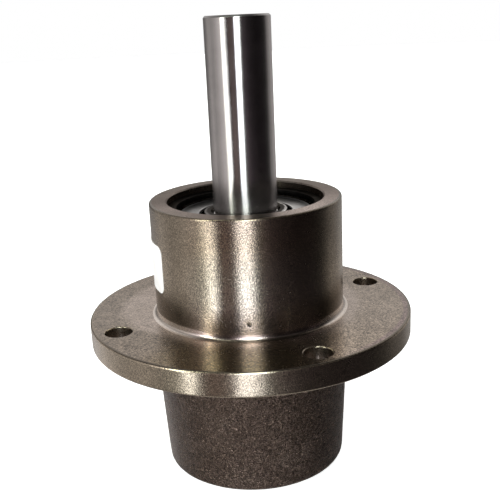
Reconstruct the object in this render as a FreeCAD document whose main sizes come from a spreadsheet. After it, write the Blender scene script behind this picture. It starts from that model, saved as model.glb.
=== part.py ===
"""Mower deck spindle: a cast housing with a round bolting flange, a plain hollow shaft, two shielded ball
bearings held by internal circlips, a spacer sleeve between the bearings, a thrust ring under the lower one, and a
blank paper label on the boss.

Millimetres. +Z runs up the shaft. The origin is on the shaft's axis in the flange's upper machined face,
and +X passes through a bolt hole.
"""
import FreeCAD, Part
import math
import os

import Sketcher

os.makedirs("parts", exist_ok=True)
doc = FreeCAD.newDocument("deck_spindle")
Vec = FreeCAD.Vector

# ---------------------------------------------------------------- driving dimensions
sheet = doc.addObject("Spreadsheet::Sheet", "sizes")

DIMENSIONS = [
    # shaft
    ("shaft_radius", 12.7, "one inch shaft"),
    ("shaft_top", 115.0, "upper end above the flange face"),
    ("shaft_foot", -62.0, "lower end, just inside the hub"),
    ("shaft_bore_radius", 8.15, "clears a 16 mm blade bolt"),
    ("shaft_chamfer", 1.0, "upper outer edge"),
    ("bore_chamfer", 0.8, "both mouths of the bolt bore"),
    ("foot_chamfer", 0.4, "lower outer edge"),
    ("thrust_radius", 16.5, "ring pressed on under the lower bearing"),
    ("thrust_chamfer", 0.6, "lower edge of the thrust ring"),
    ("thrust_edge", 0.3, "other edges of the thrust ring"),
    ("relief_depth", 0.35, "grinding relief above the upper bearing seat"),
    ("relief_low", 39.75, "lower edge of the relief"),
    ("relief_high", 40.9, "upper edge of the relief"),
    # housing
    ("boss_radius", 38.1, "turned upper boss"),
    ("rim_top", 46.0, "upper rim of the boss"),
    ("rim_round", 0.8, "outer edge of the rim"),
    ("rim_bevel", 0.5, "lead-in of both bearing bores"),
    ("boss_fillet", 1.5, "boss to flange"),
    ("flange_radius", 65.0, "round flange"),
    ("flange_thick", 9.5, "flange"),
    ("flange_round_top", 0.8, "upper edge of the flange"),
    ("flange_round_low", 0.7, "lower edge of the flange"),
    ("hub_radius_top", 40.0, "cast hub under the flange"),
    ("hub_radius_low", 37.0, "cast hub at its foot"),
    ("hub_foot", -64.0, "foot of the hub"),
    ("hub_round", 2.0, "outer edge of the foot"),
    ("hub_fillet", 3.0, "hub to flange"),
    ("bolt_circle_radius", 56.0, "bolt circle"),
    ("bolt_hole_radius", 5.25, "clears a ten millimetre bolt"),
    ("bolt_bevel", 0.4, "both mouths of a bolt hole"),
    ("bolt_count", 4, "bolt holes"),
    ("mid_bore_radius", 27.0, "bore between the bearing seats"),
    ("shoulder_bevel", 0.8, "inner edge of a bearing shoulder"),
    # circlips
    ("clip_cover", 3.0, "rim to circlip groove"),
    ("clip_groove_width", 2.15, "circlip groove"),
    ("clip_groove_radius", 32.5, "circlip groove floor"),
    ("clip_thick", 2.0, "circlip"),
    ("clip_outer_radius", 32.4, "circlip, sprung into its groove"),
    ("clip_inner_radius", 27.5, "circlip"),
    ("clip_offset", 0.6, "the circlip thins towards its gap"),
    ("clip_lug_half", 9.6, "outer side of a lug"),
    ("clip_gap_half", 4.2, "half the gap between the lugs"),
    ("clip_lug_in", 25.2, "inner end of a lug"),
    ("clip_lug_out", 30.4, "where a lug joins the ring"),
    ("clip_eye_radius", 1.3, "plier eye in a lug"),
    ("clip_eye_across", 6.9, "plier eye from the middle of the gap"),
    ("clip_eye_out", 27.9, "plier eye from the axis"),
    ("clip_lug_round", 1.0, "inner corners of a lug"),
    ("clip_turn", -24.4, "the gap's direction, from +Y"),
    # bearings
    ("seat_radius", 31.0, "bearing outside"),
    ("bearing_width", 17.0, "bearing"),
    ("ring_chamfer", 1.2, "bore and outside corners of the rings"),
    ("pitch_radius", 21.85, "circle of the ball centres"),
    ("ball_radius", 5.75, "ball"),
    ("ball_count", 7, "balls in a bearing"),
    ("ball_play", 0.04, "ball to raceway floor"),
    ("raceway_radius", 5.98, "raceway section"),
    ("inner_land_radius", 17.9, "inner ring beside its raceway"),
    ("inner_step_radius", 16.6, "inner ring under the shield"),
    ("inner_step_height", 6.3, "half width of the inner ring's land"),
    ("inner_edge", 0.3, "outer edge of the inner ring's face"),
    ("outer_land_radius", 25.3, "outer ring beside its raceway"),
    ("shield_groove_radius", 26.6, "groove that holds a shield"),
    ("shield_groove_low", 7.3, "groove floor from the bearing's middle"),
    ("shield_groove_high", 8.1, "groove lip from the bearing's middle"),
    ("shield_lip_radius", 26.1, "outer ring's lip over the shield"),
    ("shield_inner_radius", 18.4, "shield"),
    ("shield_thick", 0.5, "shield sheet"),
    ("shield_face", 7.9, "shield's outer face from the bearing's middle"),
    ("shield_turn_in", 6.75, "end of the shield's turned-in inner edge"),
    ("shield_bead_in", 25.8, "shield's rolled rim, inside"),
    ("shield_bead_out", 26.55, "shield's rolled rim, outside"),
    ("shield_bead_high", 8.05, "shield's rolled rim, top"),
    ("shield_round", 0.4, "bend at the shield's inner edge"),
    # cages
    ("cage_thick", 0.8, "cage sheet"),
    ("cage_play", 0.15, "ball to cage pocket"),
    ("cage_inner_radius", 19.7, "cage ribbon, inside"),
    ("cage_outer_radius", 24.0, "cage ribbon, outside"),
    ("rivet_radius", 0.9, "rivet shank"),
    ("rivet_head_radius", 1.5, "rivet head"),
    ("rivet_head_height", 0.65, "rivet head"),
    # spacer
    ("spacer_inner_radius", 12.85, "sleeve between the inner rings"),
    ("spacer_outer_radius", 16.0, "sleeve between the inner rings"),
    ("spacer_edge", 0.4, "edges of the sleeve"),
    # label
    ("label_thick", 0.2, "paper label"),
    ("label_low", 12.9, "lower edge"),
    ("label_height", 18.9, "label"),
    ("label_start", 112.5, "first edge, from +X"),
    ("label_sweep", 75.0, "angle that the label covers"),
    ("label_round", 3.2, "corners"),
]

for row, (name, value, note) in enumerate(DIMENSIONS, 1):
    sheet.set("A%d" % row, name)
    sheet.set("B%d" % row, str(value))
    sheet.setAlias("B%d" % row, name)
    sheet.set("C%d" % row, note)
doc.recompute()


class Size:
    """A length with the sheet formula that gives it."""

    def __init__(self, text, value):
        self.text, self.value = text, float(value)

    @staticmethod
    def of(other):
        return other if isinstance(other, Size) else Size(repr(other), other)

    def __add__(self, other):
        other = Size.of(other)
        return Size("(%s + %s)" % (self.text, other.text), self.value + other.value)

    def __sub__(self, other):
        other = Size.of(other)
        return Size("(%s - %s)" % (self.text, other.text), self.value - other.value)

    def __mul__(self, other):
        other = Size.of(other)
        return Size("(%s * %s)" % (self.text, other.text), self.value * other.value)

    def __truediv__(self, other):
        other = Size.of(other)
        return Size("(%s / %s)" % (self.text, other.text), self.value / other.value)

    def __neg__(self):
        return Size("(0 - %s)" % self.text, -self.value)


class Sizes:
    pass


S = Sizes()
for name, _, _ in DIMENSIONS:
    setattr(S, name, Size("sizes." + name, getattr(sheet, name)))

# faces that several pieces share
CLIP_UP_HIGH = S.rim_top - S.clip_cover
UPPER_FACE = CLIP_UP_HIGH - S.clip_groove_width
UPPER_SHOULDER = UPPER_FACE - S.bearing_width
UPPER_MIDDLE = UPPER_FACE - S.bearing_width / 2
CLIP_LOW_LOW = S.hub_foot + S.clip_cover
LOWER_FACE = CLIP_LOW_LOW + S.clip_groove_width
LOWER_SHOULDER = LOWER_FACE + S.bearing_width
LOWER_MIDDLE = LOWER_FACE + S.bearing_width / 2
HALF_WIDTH = S.bearing_width / 2


# ---------------------------------------------------------------- helpers
def bind(obj, prop, size):
    obj.setExpression(prop, Size.of(size).text)


def new_body(label, height=None, turn=None):
    body = doc.addObject("PartDesign::Body", label)
    body.Label = label
    if turn is not None:
        body.Placement = FreeCAD.Placement(
            Vec(0, 0, height.value), FreeCAD.Rotation(Vec(0, 0, 1), turn.value)
        )
    if height is not None:
        bind(body, "Placement.Base.z", height)
    return body


def origin_feature(body, role):
    return [f for f in body.Origin.OriginFeatures if f.Role == role][0]


def new_sketch(body, role, name):
    sketch = body.newObject("Sketcher::SketchObject", name)
    sketch.AttachmentSupport = [(origin_feature(body, role), "")]
    sketch.MapMode = "FlatFace"
    return sketch


def pin_point(sketch, geo, pos, x, y):
    """Tie one point of the sketch to two sizes."""
    for kind, axis, size in (("DistanceX", -2, x), ("DistanceY", -1, y)):
        size = Size.of(size)
        if abs(size.value) < 1e-9 and "sizes" not in size.text:
            sketch.addConstraint(Sketcher.Constraint("PointOnObject", geo, pos, axis))
            continue
        at = sketch.addConstraint(
            Sketcher.Constraint(kind, -1, 1, geo, pos, size.value)
        )
        sketch.setExpression("Constraints[%d]" % at, size.text)


def outline(sketch, points):
    """A closed outline of straight lines with every corner tied to the sheet."""
    n = len(points)
    at = [Vec(Size.of(x).value, Size.of(y).value, 0) for x, y in points]
    first = sketch.GeometryCount
    for i in range(n):
        sketch.addGeometry(Part.LineSegment(at[i], at[(i + 1) % n]), False)
    for i in range(n):
        sketch.addConstraint(
            Sketcher.Constraint("Coincident", first + i, 2, first + (i + 1) % n, 1)
        )
    for i, (x, y) in enumerate(points):
        pin_point(sketch, first + i, 1, x, y)


def circle(sketch, x, y, radius):
    x, y, radius = Size.of(x), Size.of(y), Size.of(radius)
    geo = sketch.addGeometry(
        Part.Circle(Vec(x.value, y.value, 0), Vec(0, 0, 1), radius.value), False
    )
    pin_point(sketch, geo, 3, x, y)
    at = sketch.addConstraint(Sketcher.Constraint("Radius", geo, radius.value))
    sketch.setExpression("Constraints[%d]" % at, radius.text)


def turned(body, points, name="Turning"):
    """Revolve an outline of (radius, height) about the axis."""
    sketch = new_sketch(body, "XZ_Plane", name + "Outline")
    outline(sketch, points)
    feature = body.newObject("PartDesign::Revolution", name)
    feature.Profile = sketch
    feature.ReferenceAxis = (sketch, ["V_Axis"])
    feature.Angle = 360
    doc.recompute()
    return feature


def grooved(body, x, y, radius, name):
    """Cut a round groove of the given section."""
    before = body.Shape.Volume
    sketch = new_sketch(body, "XZ_Plane", name + "Section")
    circle(sketch, x, y, radius)
    feature = body.newObject("PartDesign::Groove", name)
    feature.Profile = sketch
    feature.ReferenceAxis = (sketch, ["V_Axis"])
    feature.Angle = 360
    doc.recompute()
    if not feature.Shape.Volume < before - 1:
        raise RuntimeError(body.Label + ": the groove cut nothing")
    return feature


def rims(shape, radius, height):
    """Names of the circular edges about the axis at a radius and a height."""
    names = []
    for i, edge in enumerate(shape.Edges, 1):
        curve = edge.Curve
        if not isinstance(curve, Part.Circle):
            continue
        c = curve.Center
        if (
            abs(curve.Radius - Size.of(radius).value) < 0.01
            and abs(c.z - Size.of(height).value) < 0.01
            and math.hypot(c.x, c.y) < 0.01
        ):
            names.append("Edge%d" % i)
    if not names:
        raise RuntimeError("no edge at %s, %s" % (radius.text, height.text))
    return names


def dress(body, kind, base, names, size):
    feature = body.newObject("PartDesign::" + kind, kind)
    feature.Base = (base, names)
    bind(feature, "Radius" if kind == "Fillet" else "Size", size)
    doc.recompute()
    if not feature.isValid():
        raise RuntimeError(body.Label + ": " + kind + " failed")
    return feature


def pocket_through(body, sketch, name):
    before = body.Shape.Volume
    feature = body.newObject("PartDesign::Pocket", name)
    feature.Profile = sketch
    feature.Type = "ThroughAll"
    doc.recompute()
    if not feature.Shape.Volume < before - 0.5:
        feature.Reversed = True
        doc.recompute()
    if not feature.Shape.Volume < before - 0.5:
        raise RuntimeError(body.Label + ": the pocket cut nothing")
    return feature


SUBPARTS = []


def keep(obj):
    SUBPARTS.append(obj)
    return obj


# ---------------------------------------------------------------- housing
housing = new_body("spindle_housing")
step = turned(
    housing,
    [
        (S.seat_radius + S.rim_bevel, S.hub_foot),
        (S.hub_radius_low, S.hub_foot),
        (S.hub_radius_top, -S.flange_thick),
        (S.flange_radius, -S.flange_thick),
        (S.flange_radius, 0),
        (S.boss_radius, 0),
        (S.boss_radius, S.rim_top),
        (S.seat_radius + S.rim_bevel, S.rim_top),
        (S.seat_radius, S.rim_top - S.rim_bevel),
        (S.seat_radius, CLIP_UP_HIGH),
        (S.clip_groove_radius, CLIP_UP_HIGH),
        (S.clip_groove_radius, UPPER_FACE),
        (S.seat_radius, UPPER_FACE),
        (S.seat_radius, UPPER_SHOULDER),
        (S.mid_bore_radius, UPPER_SHOULDER),
        (S.mid_bore_radius, LOWER_SHOULDER),
        (S.seat_radius, LOWER_SHOULDER),
        (S.seat_radius, LOWER_FACE),
        (S.clip_groove_radius, LOWER_FACE),
        (S.clip_groove_radius, CLIP_LOW_LOW),
        (S.seat_radius, CLIP_LOW_LOW),
        (S.seat_radius, S.hub_foot + S.rim_bevel),
    ],
)
for radius, height, size in (
    (S.boss_radius, Size("0", 0), S.boss_fillet),
    (S.hub_radius_top, -S.flange_thick, S.hub_fillet),
    (S.boss_radius, S.rim_top, S.rim_round),
    (S.flange_radius, Size("0", 0), S.flange_round_top),
    (S.flange_radius, -S.flange_thick, S.flange_round_low),
    (S.hub_radius_low, S.hub_foot, S.hub_round),
):
    step = dress(housing, "Fillet", step, rims(step.Shape, radius, height), size)
step = dress(
    housing,
    "Chamfer",
    step,
    rims(step.Shape, S.mid_bore_radius, UPPER_SHOULDER)
    + rims(step.Shape, S.mid_bore_radius, LOWER_SHOULDER),
    S.shoulder_bevel,
)

# four bolt holes through the flange, one on +X
drill = new_sketch(housing, "XY_Plane", "BoltHole")
circle(drill, S.bolt_circle_radius, 0, S.bolt_hole_radius)
hole = pocket_through(housing, drill, "BoltHoleCut")
holes = housing.newObject("PartDesign::PolarPattern", "BoltHoles")
holes.Originals = [hole]
holes.Axis = (origin_feature(housing, "Z_Axis"), [""])
holes.Angle = 360
bind(holes, "Occurrences", S.bolt_count)
housing.Tip = holes
doc.recompute()
mouths = []
for i, edge in enumerate(holes.Shape.Edges, 1):
    curve = edge.Curve
    if (
        isinstance(curve, Part.Circle)
        and abs(curve.Radius - S.bolt_hole_radius.value) < 0.01
        and abs(math.hypot(curve.Center.x, curve.Center.y) - S.bolt_circle_radius.value)
        < 0.01
    ):
        mouths.append("Edge%d" % i)
if len(mouths) != 2 * int(S.bolt_count.value):
    raise RuntimeError("bolt hole mouths: %d" % len(mouths))
dress(housing, "Chamfer", holes, mouths, S.bolt_bevel)
keep(housing)

# ---------------------------------------------------------------- shaft
shaft = new_body("spindle_shaft")
step = turned(
    shaft,
    [
        (S.shaft_bore_radius + S.bore_chamfer, S.shaft_foot),
        (S.shaft_radius, S.shaft_foot),
        (S.shaft_radius, S.relief_low),
        (S.shaft_radius - S.relief_depth, S.relief_low),
        (S.shaft_radius - S.relief_depth, S.relief_high),
        (S.shaft_radius, S.relief_high),
        (S.shaft_radius, S.shaft_top - S.shaft_chamfer),
        (S.shaft_radius - S.shaft_chamfer, S.shaft_top),
        (S.shaft_bore_radius + S.bore_chamfer, S.shaft_top),
        (S.shaft_bore_radius, S.shaft_top - S.bore_chamfer),
        (S.shaft_bore_radius, S.shaft_foot + S.bore_chamfer),
    ],
)
dress(
    shaft,
    "Chamfer",
    step,
    rims(step.Shape, S.shaft_radius, S.shaft_foot),
    S.foot_chamfer,
)
keep(shaft)

# ---------------------------------------------------------------- thrust ring under the lower bearing
thrust = new_body("thrust_ring")
turned(
    thrust,
    [
        (S.shaft_radius + S.thrust_edge, S.shaft_foot),
        (S.thrust_radius - S.thrust_chamfer, S.shaft_foot),
        (S.thrust_radius, S.shaft_foot + S.thrust_chamfer),
        (S.thrust_radius, LOWER_FACE - S.thrust_edge),
        (S.thrust_radius - S.thrust_edge, LOWER_FACE),
        (S.shaft_radius + S.thrust_edge, LOWER_FACE),
        (S.shaft_radius, LOWER_FACE - S.thrust_edge),
        (S.shaft_radius, S.shaft_foot + S.thrust_edge),
    ],
)
keep(thrust)

# ---------------------------------------------------------------- spacer sleeve
spacer = new_body("bearing_spacer")
turned(
    spacer,
    [
        (S.spacer_inner_radius + S.spacer_edge, LOWER_SHOULDER),
        (S.spacer_outer_radius - S.spacer_edge, LOWER_SHOULDER),
        (S.spacer_outer_radius, LOWER_SHOULDER + S.spacer_edge),
        (S.spacer_outer_radius, UPPER_SHOULDER - S.spacer_edge),
        (S.spacer_outer_radius - S.spacer_edge, UPPER_SHOULDER),
        (S.spacer_inner_radius + S.spacer_edge, UPPER_SHOULDER),
        (S.spacer_inner_radius, UPPER_SHOULDER - S.spacer_edge),
        (S.spacer_inner_radius, LOWER_SHOULDER + S.spacer_edge),
    ],
)
keep(spacer)


# ---------------------------------------------------------------- circlips
def circlip(label, height):
    """An internal circlip with two eyed lugs, flat on the plane at height."""
    body = new_body(label, height, S.clip_turn)
    ring = new_sketch(body, "XY_Plane", "Ring")
    circle(ring, 0, 0, S.clip_outer_radius)
    circle(ring, 0, S.clip_offset, S.clip_inner_radius)
    pad = body.newObject("PartDesign::Pad", "RingPad")
    pad.Profile = ring
    bind(pad, "Length", S.clip_thick)
    lugs = new_sketch(body, "XY_Plane", "Lugs")
    outline(
        lugs,
        [
            (-S.clip_lug_half, S.clip_lug_in),
            (S.clip_lug_half, S.clip_lug_in),
            (S.clip_lug_half, S.clip_lug_out),
            (-S.clip_lug_half, S.clip_lug_out),
        ],
    )
    lug_pad = body.newObject("PartDesign::Pad", "LugPad")
    lug_pad.Profile = lugs
    bind(lug_pad, "Length", S.clip_thick)
    doc.recompute()
    gap = new_sketch(body, "XY_Plane", "Gap")
    outline(
        gap,
        [
            (-S.clip_gap_half, S.clip_lug_in - 2),
            (S.clip_gap_half, S.clip_lug_in - 2),
            (S.clip_gap_half, S.clip_outer_radius + 2),
            (-S.clip_gap_half, S.clip_outer_radius + 2),
        ],
    )
    pocket_through(body, gap, "GapCut")
    eyes = new_sketch(body, "XY_Plane", "Eyes")
    circle(eyes, -S.clip_eye_across, S.clip_eye_out, S.clip_eye_radius)
    circle(eyes, S.clip_eye_across, S.clip_eye_out, S.clip_eye_radius)
    cut = pocket_through(body, eyes, "EyesCut")
    corners = []
    for i, edge in enumerate(cut.Shape.Edges, 1):
        a, b = edge.Vertexes[0].Point, edge.Vertexes[-1].Point
        if (
            abs(a.z - b.z) > 1
            and abs(a.y - S.clip_lug_in.value) < 0.01
            and isinstance(edge.Curve, Part.Line)
        ):
            corners.append("Edge%d" % i)
    if len(corners) != 4:
        raise RuntimeError("circlip lug corners: %d" % len(corners))
    dress(body, "Fillet", cut, corners, S.clip_lug_round)
    return keep(body)


circlip("upper_circlip", UPPER_FACE)
circlip("lower_circlip", LOWER_FACE - S.clip_thick)


# ---------------------------------------------------------------- bearings
def outer_ring(label, middle):
    body = new_body(label, middle)
    edge = S.seat_radius - S.ring_chamfer
    turned(
        body,
        [
            (edge, -HALF_WIDTH),
            (S.seat_radius, S.ring_chamfer - HALF_WIDTH),
            (S.seat_radius, HALF_WIDTH - S.ring_chamfer),
            (edge, HALF_WIDTH),
            (S.shield_lip_radius, HALF_WIDTH),
            (S.shield_lip_radius, S.shield_groove_high),
            (S.shield_groove_radius, S.shield_groove_high),
            (S.shield_groove_radius, S.shield_groove_low),
            (S.outer_land_radius, S.shield_groove_low),
            (S.outer_land_radius, -S.shield_groove_low),
            (S.shield_groove_radius, -S.shield_groove_low),
            (S.shield_groove_radius, -S.shield_groove_high),
            (S.shield_lip_radius, -S.shield_groove_high),
            (S.shield_lip_radius, -HALF_WIDTH),
        ],
    )
    floor = S.pitch_radius + S.ball_radius + S.ball_play
    grooved(body, floor - S.raceway_radius, 0, S.raceway_radius, "Raceway")
    return keep(body)


def inner_ring(label, middle):
    body = new_body(label, middle)
    mouth = S.shaft_radius + S.ring_chamfer
    turned(
        body,
        [
            (mouth, -HALF_WIDTH),
            (S.inner_step_radius - S.inner_edge, -HALF_WIDTH),
            (S.inner_step_radius, S.inner_edge - HALF_WIDTH),
            (S.inner_step_radius, -S.inner_step_height),
            (S.inner_land_radius, -S.inner_step_height),
            (S.inner_land_radius, S.inner_step_height),
            (S.inner_step_radius, S.inner_step_height),
            (S.inner_step_radius, HALF_WIDTH - S.inner_edge),
            (S.inner_step_radius - S.inner_edge, HALF_WIDTH),
            (mouth, HALF_WIDTH),
            (S.shaft_radius, HALF_WIDTH - S.ring_chamfer),
            (S.shaft_radius, S.ring_chamfer - HALF_WIDTH),
        ],
    )
    floor = S.pitch_radius - S.ball_radius - S.ball_play
    grooved(body, floor + S.raceway_radius, 0, S.raceway_radius, "Raceway")
    return keep(body)


def shield(label, middle, way):
    """A pressed shield on the bearing's upper (way 1) or lower (way -1) side."""
    body = new_body(label, middle)
    under = S.shield_face - S.shield_thick
    points = [
        (S.shield_inner_radius, S.shield_turn_in),
        (S.shield_inner_radius + S.shield_thick, S.shield_turn_in),
        (S.shield_inner_radius + S.shield_thick, under),
        (S.shield_bead_in, under),
        (S.shield_bead_in, S.shield_groove_low),
        (S.shield_bead_out, S.shield_groove_low),
        (S.shield_bead_out, S.shield_bead_high),
        (S.shield_bead_in, S.shield_bead_high),
        (S.shield_bead_in, S.shield_face),
        (S.shield_inner_radius, S.shield_face),
    ]
    if way < 0:
        points = [(x, -y) for x, y in points]
    step = turned(body, points)
    bend = S.shield_face * way
    dress(
        body,
        "Fillet",
        step,
        rims(step.Shape, S.shield_inner_radius, bend),
        S.shield_round,
    )
    return keep(body)


def around(obj, i, count, radius, half=False):
    """Place a primitive on a circle, at the i-th of count places or midway to the next."""
    turn = "360 * %s / %s" % (i + 0.5 if half else i, count.text)
    obj.setExpression("Placement.Base.x", "%s * cos(%s)" % (radius.text, turn))
    obj.setExpression("Placement.Base.y", "%s * sin(%s)" % (radius.text, turn))
    return obj


def sphere(radius):
    obj = doc.addObject("Part::Sphere", "Sphere")
    bind(obj, "Radius", radius)
    return obj


def cylinder(radius, height, low=None):
    obj = doc.addObject("Part::Cylinder", "Cylinder")
    bind(obj, "Radius", radius)
    bind(obj, "Height", height)
    if low is not None:
        bind(obj, "Placement.Base.z", low)
    return obj


def joined(kind, label, members):
    obj = doc.addObject(kind, label)
    if kind == "Part::Compound":
        obj.Links = members
    elif kind == "Part::Cut":
        obj.Base, obj.Tool = members
    else:
        obj.Shapes = members
    return obj


COUNT = int(S.ball_count.value)


def ball_set(label, middle):
    balls = [
        around(sphere(S.ball_radius), i, S.ball_count, S.pitch_radius)
        for i in range(COUNT)
    ]
    obj = joined("Part::Compound", label, balls)
    obj.Label = label
    bind(obj, "Placement.Base.z", middle)
    return keep(obj)


def cage_half(label, middle, way):
    """Half of a riveted ribbon cage: flat lands between domed ball pockets."""
    pocket = S.ball_radius + S.cage_play
    dome = pocket + S.cage_thick
    blank = joined(
        "Part::MultiFuse",
        label + "_blank",
        [cylinder(S.cage_outer_radius + 1, S.cage_thick)]
        + [
            around(sphere(dome), i, S.ball_count, S.pitch_radius) for i in range(COUNT)
        ],
    )
    band = joined(
        "Part::Cut",
        label + "_band",
        [
            cylinder(S.cage_outer_radius, dome + 1),
            cylinder(S.cage_inner_radius, dome + 3, -Size.of(1)),
        ],
    )
    ribbon = joined("Part::MultiCommon", label + "_ribbon", [blank, band])
    room = joined(
        "Part::MultiFuse",
        label + "_room",
        [around(sphere(pocket), i, S.ball_count, S.pitch_radius) for i in range(COUNT)]
        + [
            around(
                cylinder(S.rivet_radius, S.cage_thick + 2, -Size.of(1)),
                i,
                S.ball_count,
                S.pitch_radius,
                half=True,
            )
            for i in range(COUNT)
        ],
    )
    obj = joined("Part::Cut", label, [ribbon, room])
    obj.Label = label
    obj.Placement = FreeCAD.Placement(
        Vec(0, 0, middle.value),
        FreeCAD.Rotation(Vec(1, 0, 0), 0 if way > 0 else 180),
    )
    bind(obj, "Placement.Base.z", middle)
    return keep(obj)


def rivet_set(label, middle):
    rivets = []
    for i in range(COUNT):
        shank = cylinder(S.rivet_radius, S.cage_thick * 2, -S.cage_thick)
        high = doc.addObject("Part::Cone", "Head")
        low = doc.addObject("Part::Cone", "Head")
        for head in (high, low):
            bind(head, "Height", S.rivet_head_height)
        bind(high, "Radius1", S.rivet_head_radius)
        bind(high, "Radius2", S.rivet_radius)
        bind(high, "Placement.Base.z", S.cage_thick)
        bind(low, "Radius1", S.rivet_radius)
        bind(low, "Radius2", S.rivet_head_radius)
        bind(low, "Placement.Base.z", -(S.cage_thick + S.rivet_head_height))
        rivet = joined("Part::MultiFuse", "Rivet", [shank, high, low])
        around(rivet, i, S.ball_count, S.pitch_radius, half=True)
        rivets.append(rivet)
    obj = joined("Part::Compound", label, rivets)
    obj.Label = label
    bind(obj, "Placement.Base.z", middle)
    return keep(obj)


for name, middle in (("upper_bearing", UPPER_MIDDLE), ("lower_bearing", LOWER_MIDDLE)):
    outer_ring(name + "_outer_ring", middle)
    inner_ring(name + "_inner_ring", middle)
    ball_set(name + "_balls", middle)
    cage_half(name + "_cage_top", middle, 1)
    cage_half(name + "_cage_bottom", middle, -1)
    rivet_set(name + "_cage_rivets", middle)
    shield(name + "_shield_top", middle, 1)
    shield(name + "_shield_bottom", middle, -1)

# ---------------------------------------------------------------- blank label, wrapped on the boss
sheet_out = cylinder(S.boss_radius + S.label_thick, S.label_height, S.label_low)
sheet_out.Placement = FreeCAD.Placement(
    Vec(0, 0, S.label_low.value),
    FreeCAD.Rotation(Vec(0, 0, 1), S.label_start.value),
)
bind(sheet_out, "Angle", S.label_sweep)
sheet_in = cylinder(S.boss_radius, S.label_height + 2, S.label_low - 1)
wrap = joined("Part::Cut", "LabelWrap", [sheet_out, sheet_in])
doc.recompute()
label = doc.addObject("Part::Fillet", "blank_label")
label.Label = "blank_label"
label.Base = wrap
corners = []
for i, edge in enumerate(wrap.Shape.Edges, 1):
    a, b = edge.Vertexes[0].Point, edge.Vertexes[-1].Point
    if (
        isinstance(edge.Curve, Part.Line)
        and abs(a.z - b.z) < 1e-6
        and abs(edge.Length - S.label_thick.value) < 1e-3
    ):
        corners.append((i, S.label_round.value, S.label_round.value))
if len(corners) != 4:
    raise RuntimeError("label corners: %d" % len(corners))
label.Edges = corners
keep(label)

# ---------------------------------------------------------------- test and write
doc.recompute()
for obj in doc.Objects:
    if "Invalid" in obj.State or "Error" in obj.State:
        raise RuntimeError("%s failed: %s" % (obj.Label, obj.State))
for obj in SUBPARTS:
    shape = obj.Shape
    if shape.isNull() or not shape.isValid() or not shape.Solids:
        raise RuntimeError("%s has no valid solid" % obj.Label)
for obj in SUBPARTS:
    obj.Shape.exportStep("parts/%s.step" % obj.Label)
    box = obj.Shape.BoundBox
    print(
        "%-28s %d solid(s) %10.1f mm3   z %8.2f %8.2f   x %7.2f %7.2f"
        % (
            obj.Label,
            len(obj.Shape.Solids),
            obj.Shape.Volume,
            box.ZMin,
            box.ZMax,
            box.XMin,
            box.XMax,
        )
    )
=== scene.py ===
import math

import bmesh
import bpy
import numpy as np
from mathutils import Matrix, Vector, noise


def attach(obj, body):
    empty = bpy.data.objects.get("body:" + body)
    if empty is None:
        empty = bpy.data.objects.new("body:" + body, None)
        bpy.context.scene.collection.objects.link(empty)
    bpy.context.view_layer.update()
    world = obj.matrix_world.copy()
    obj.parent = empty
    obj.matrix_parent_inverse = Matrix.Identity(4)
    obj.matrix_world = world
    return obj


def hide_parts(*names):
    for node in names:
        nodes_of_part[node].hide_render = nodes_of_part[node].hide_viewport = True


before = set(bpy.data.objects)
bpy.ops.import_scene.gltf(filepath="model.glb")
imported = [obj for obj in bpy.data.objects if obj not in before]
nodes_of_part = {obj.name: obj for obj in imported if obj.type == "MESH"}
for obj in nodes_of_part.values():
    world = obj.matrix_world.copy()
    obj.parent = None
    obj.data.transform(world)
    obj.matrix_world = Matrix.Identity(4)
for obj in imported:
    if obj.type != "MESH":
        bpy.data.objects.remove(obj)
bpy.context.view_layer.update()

MM = 0.001
scene = bpy.context.scene

# the photograph looks at the spindle from this direction: a bolt hole is turned 24.36 degrees from the picture's x axis
TURN = math.radians(24.362)
AWAY = (math.sin(TURN), math.cos(TURN))  # the picture's "away" direction, in the part's own axes
RIGHT = (math.cos(TURN), -math.sin(TURN))  # and its "right"


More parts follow.
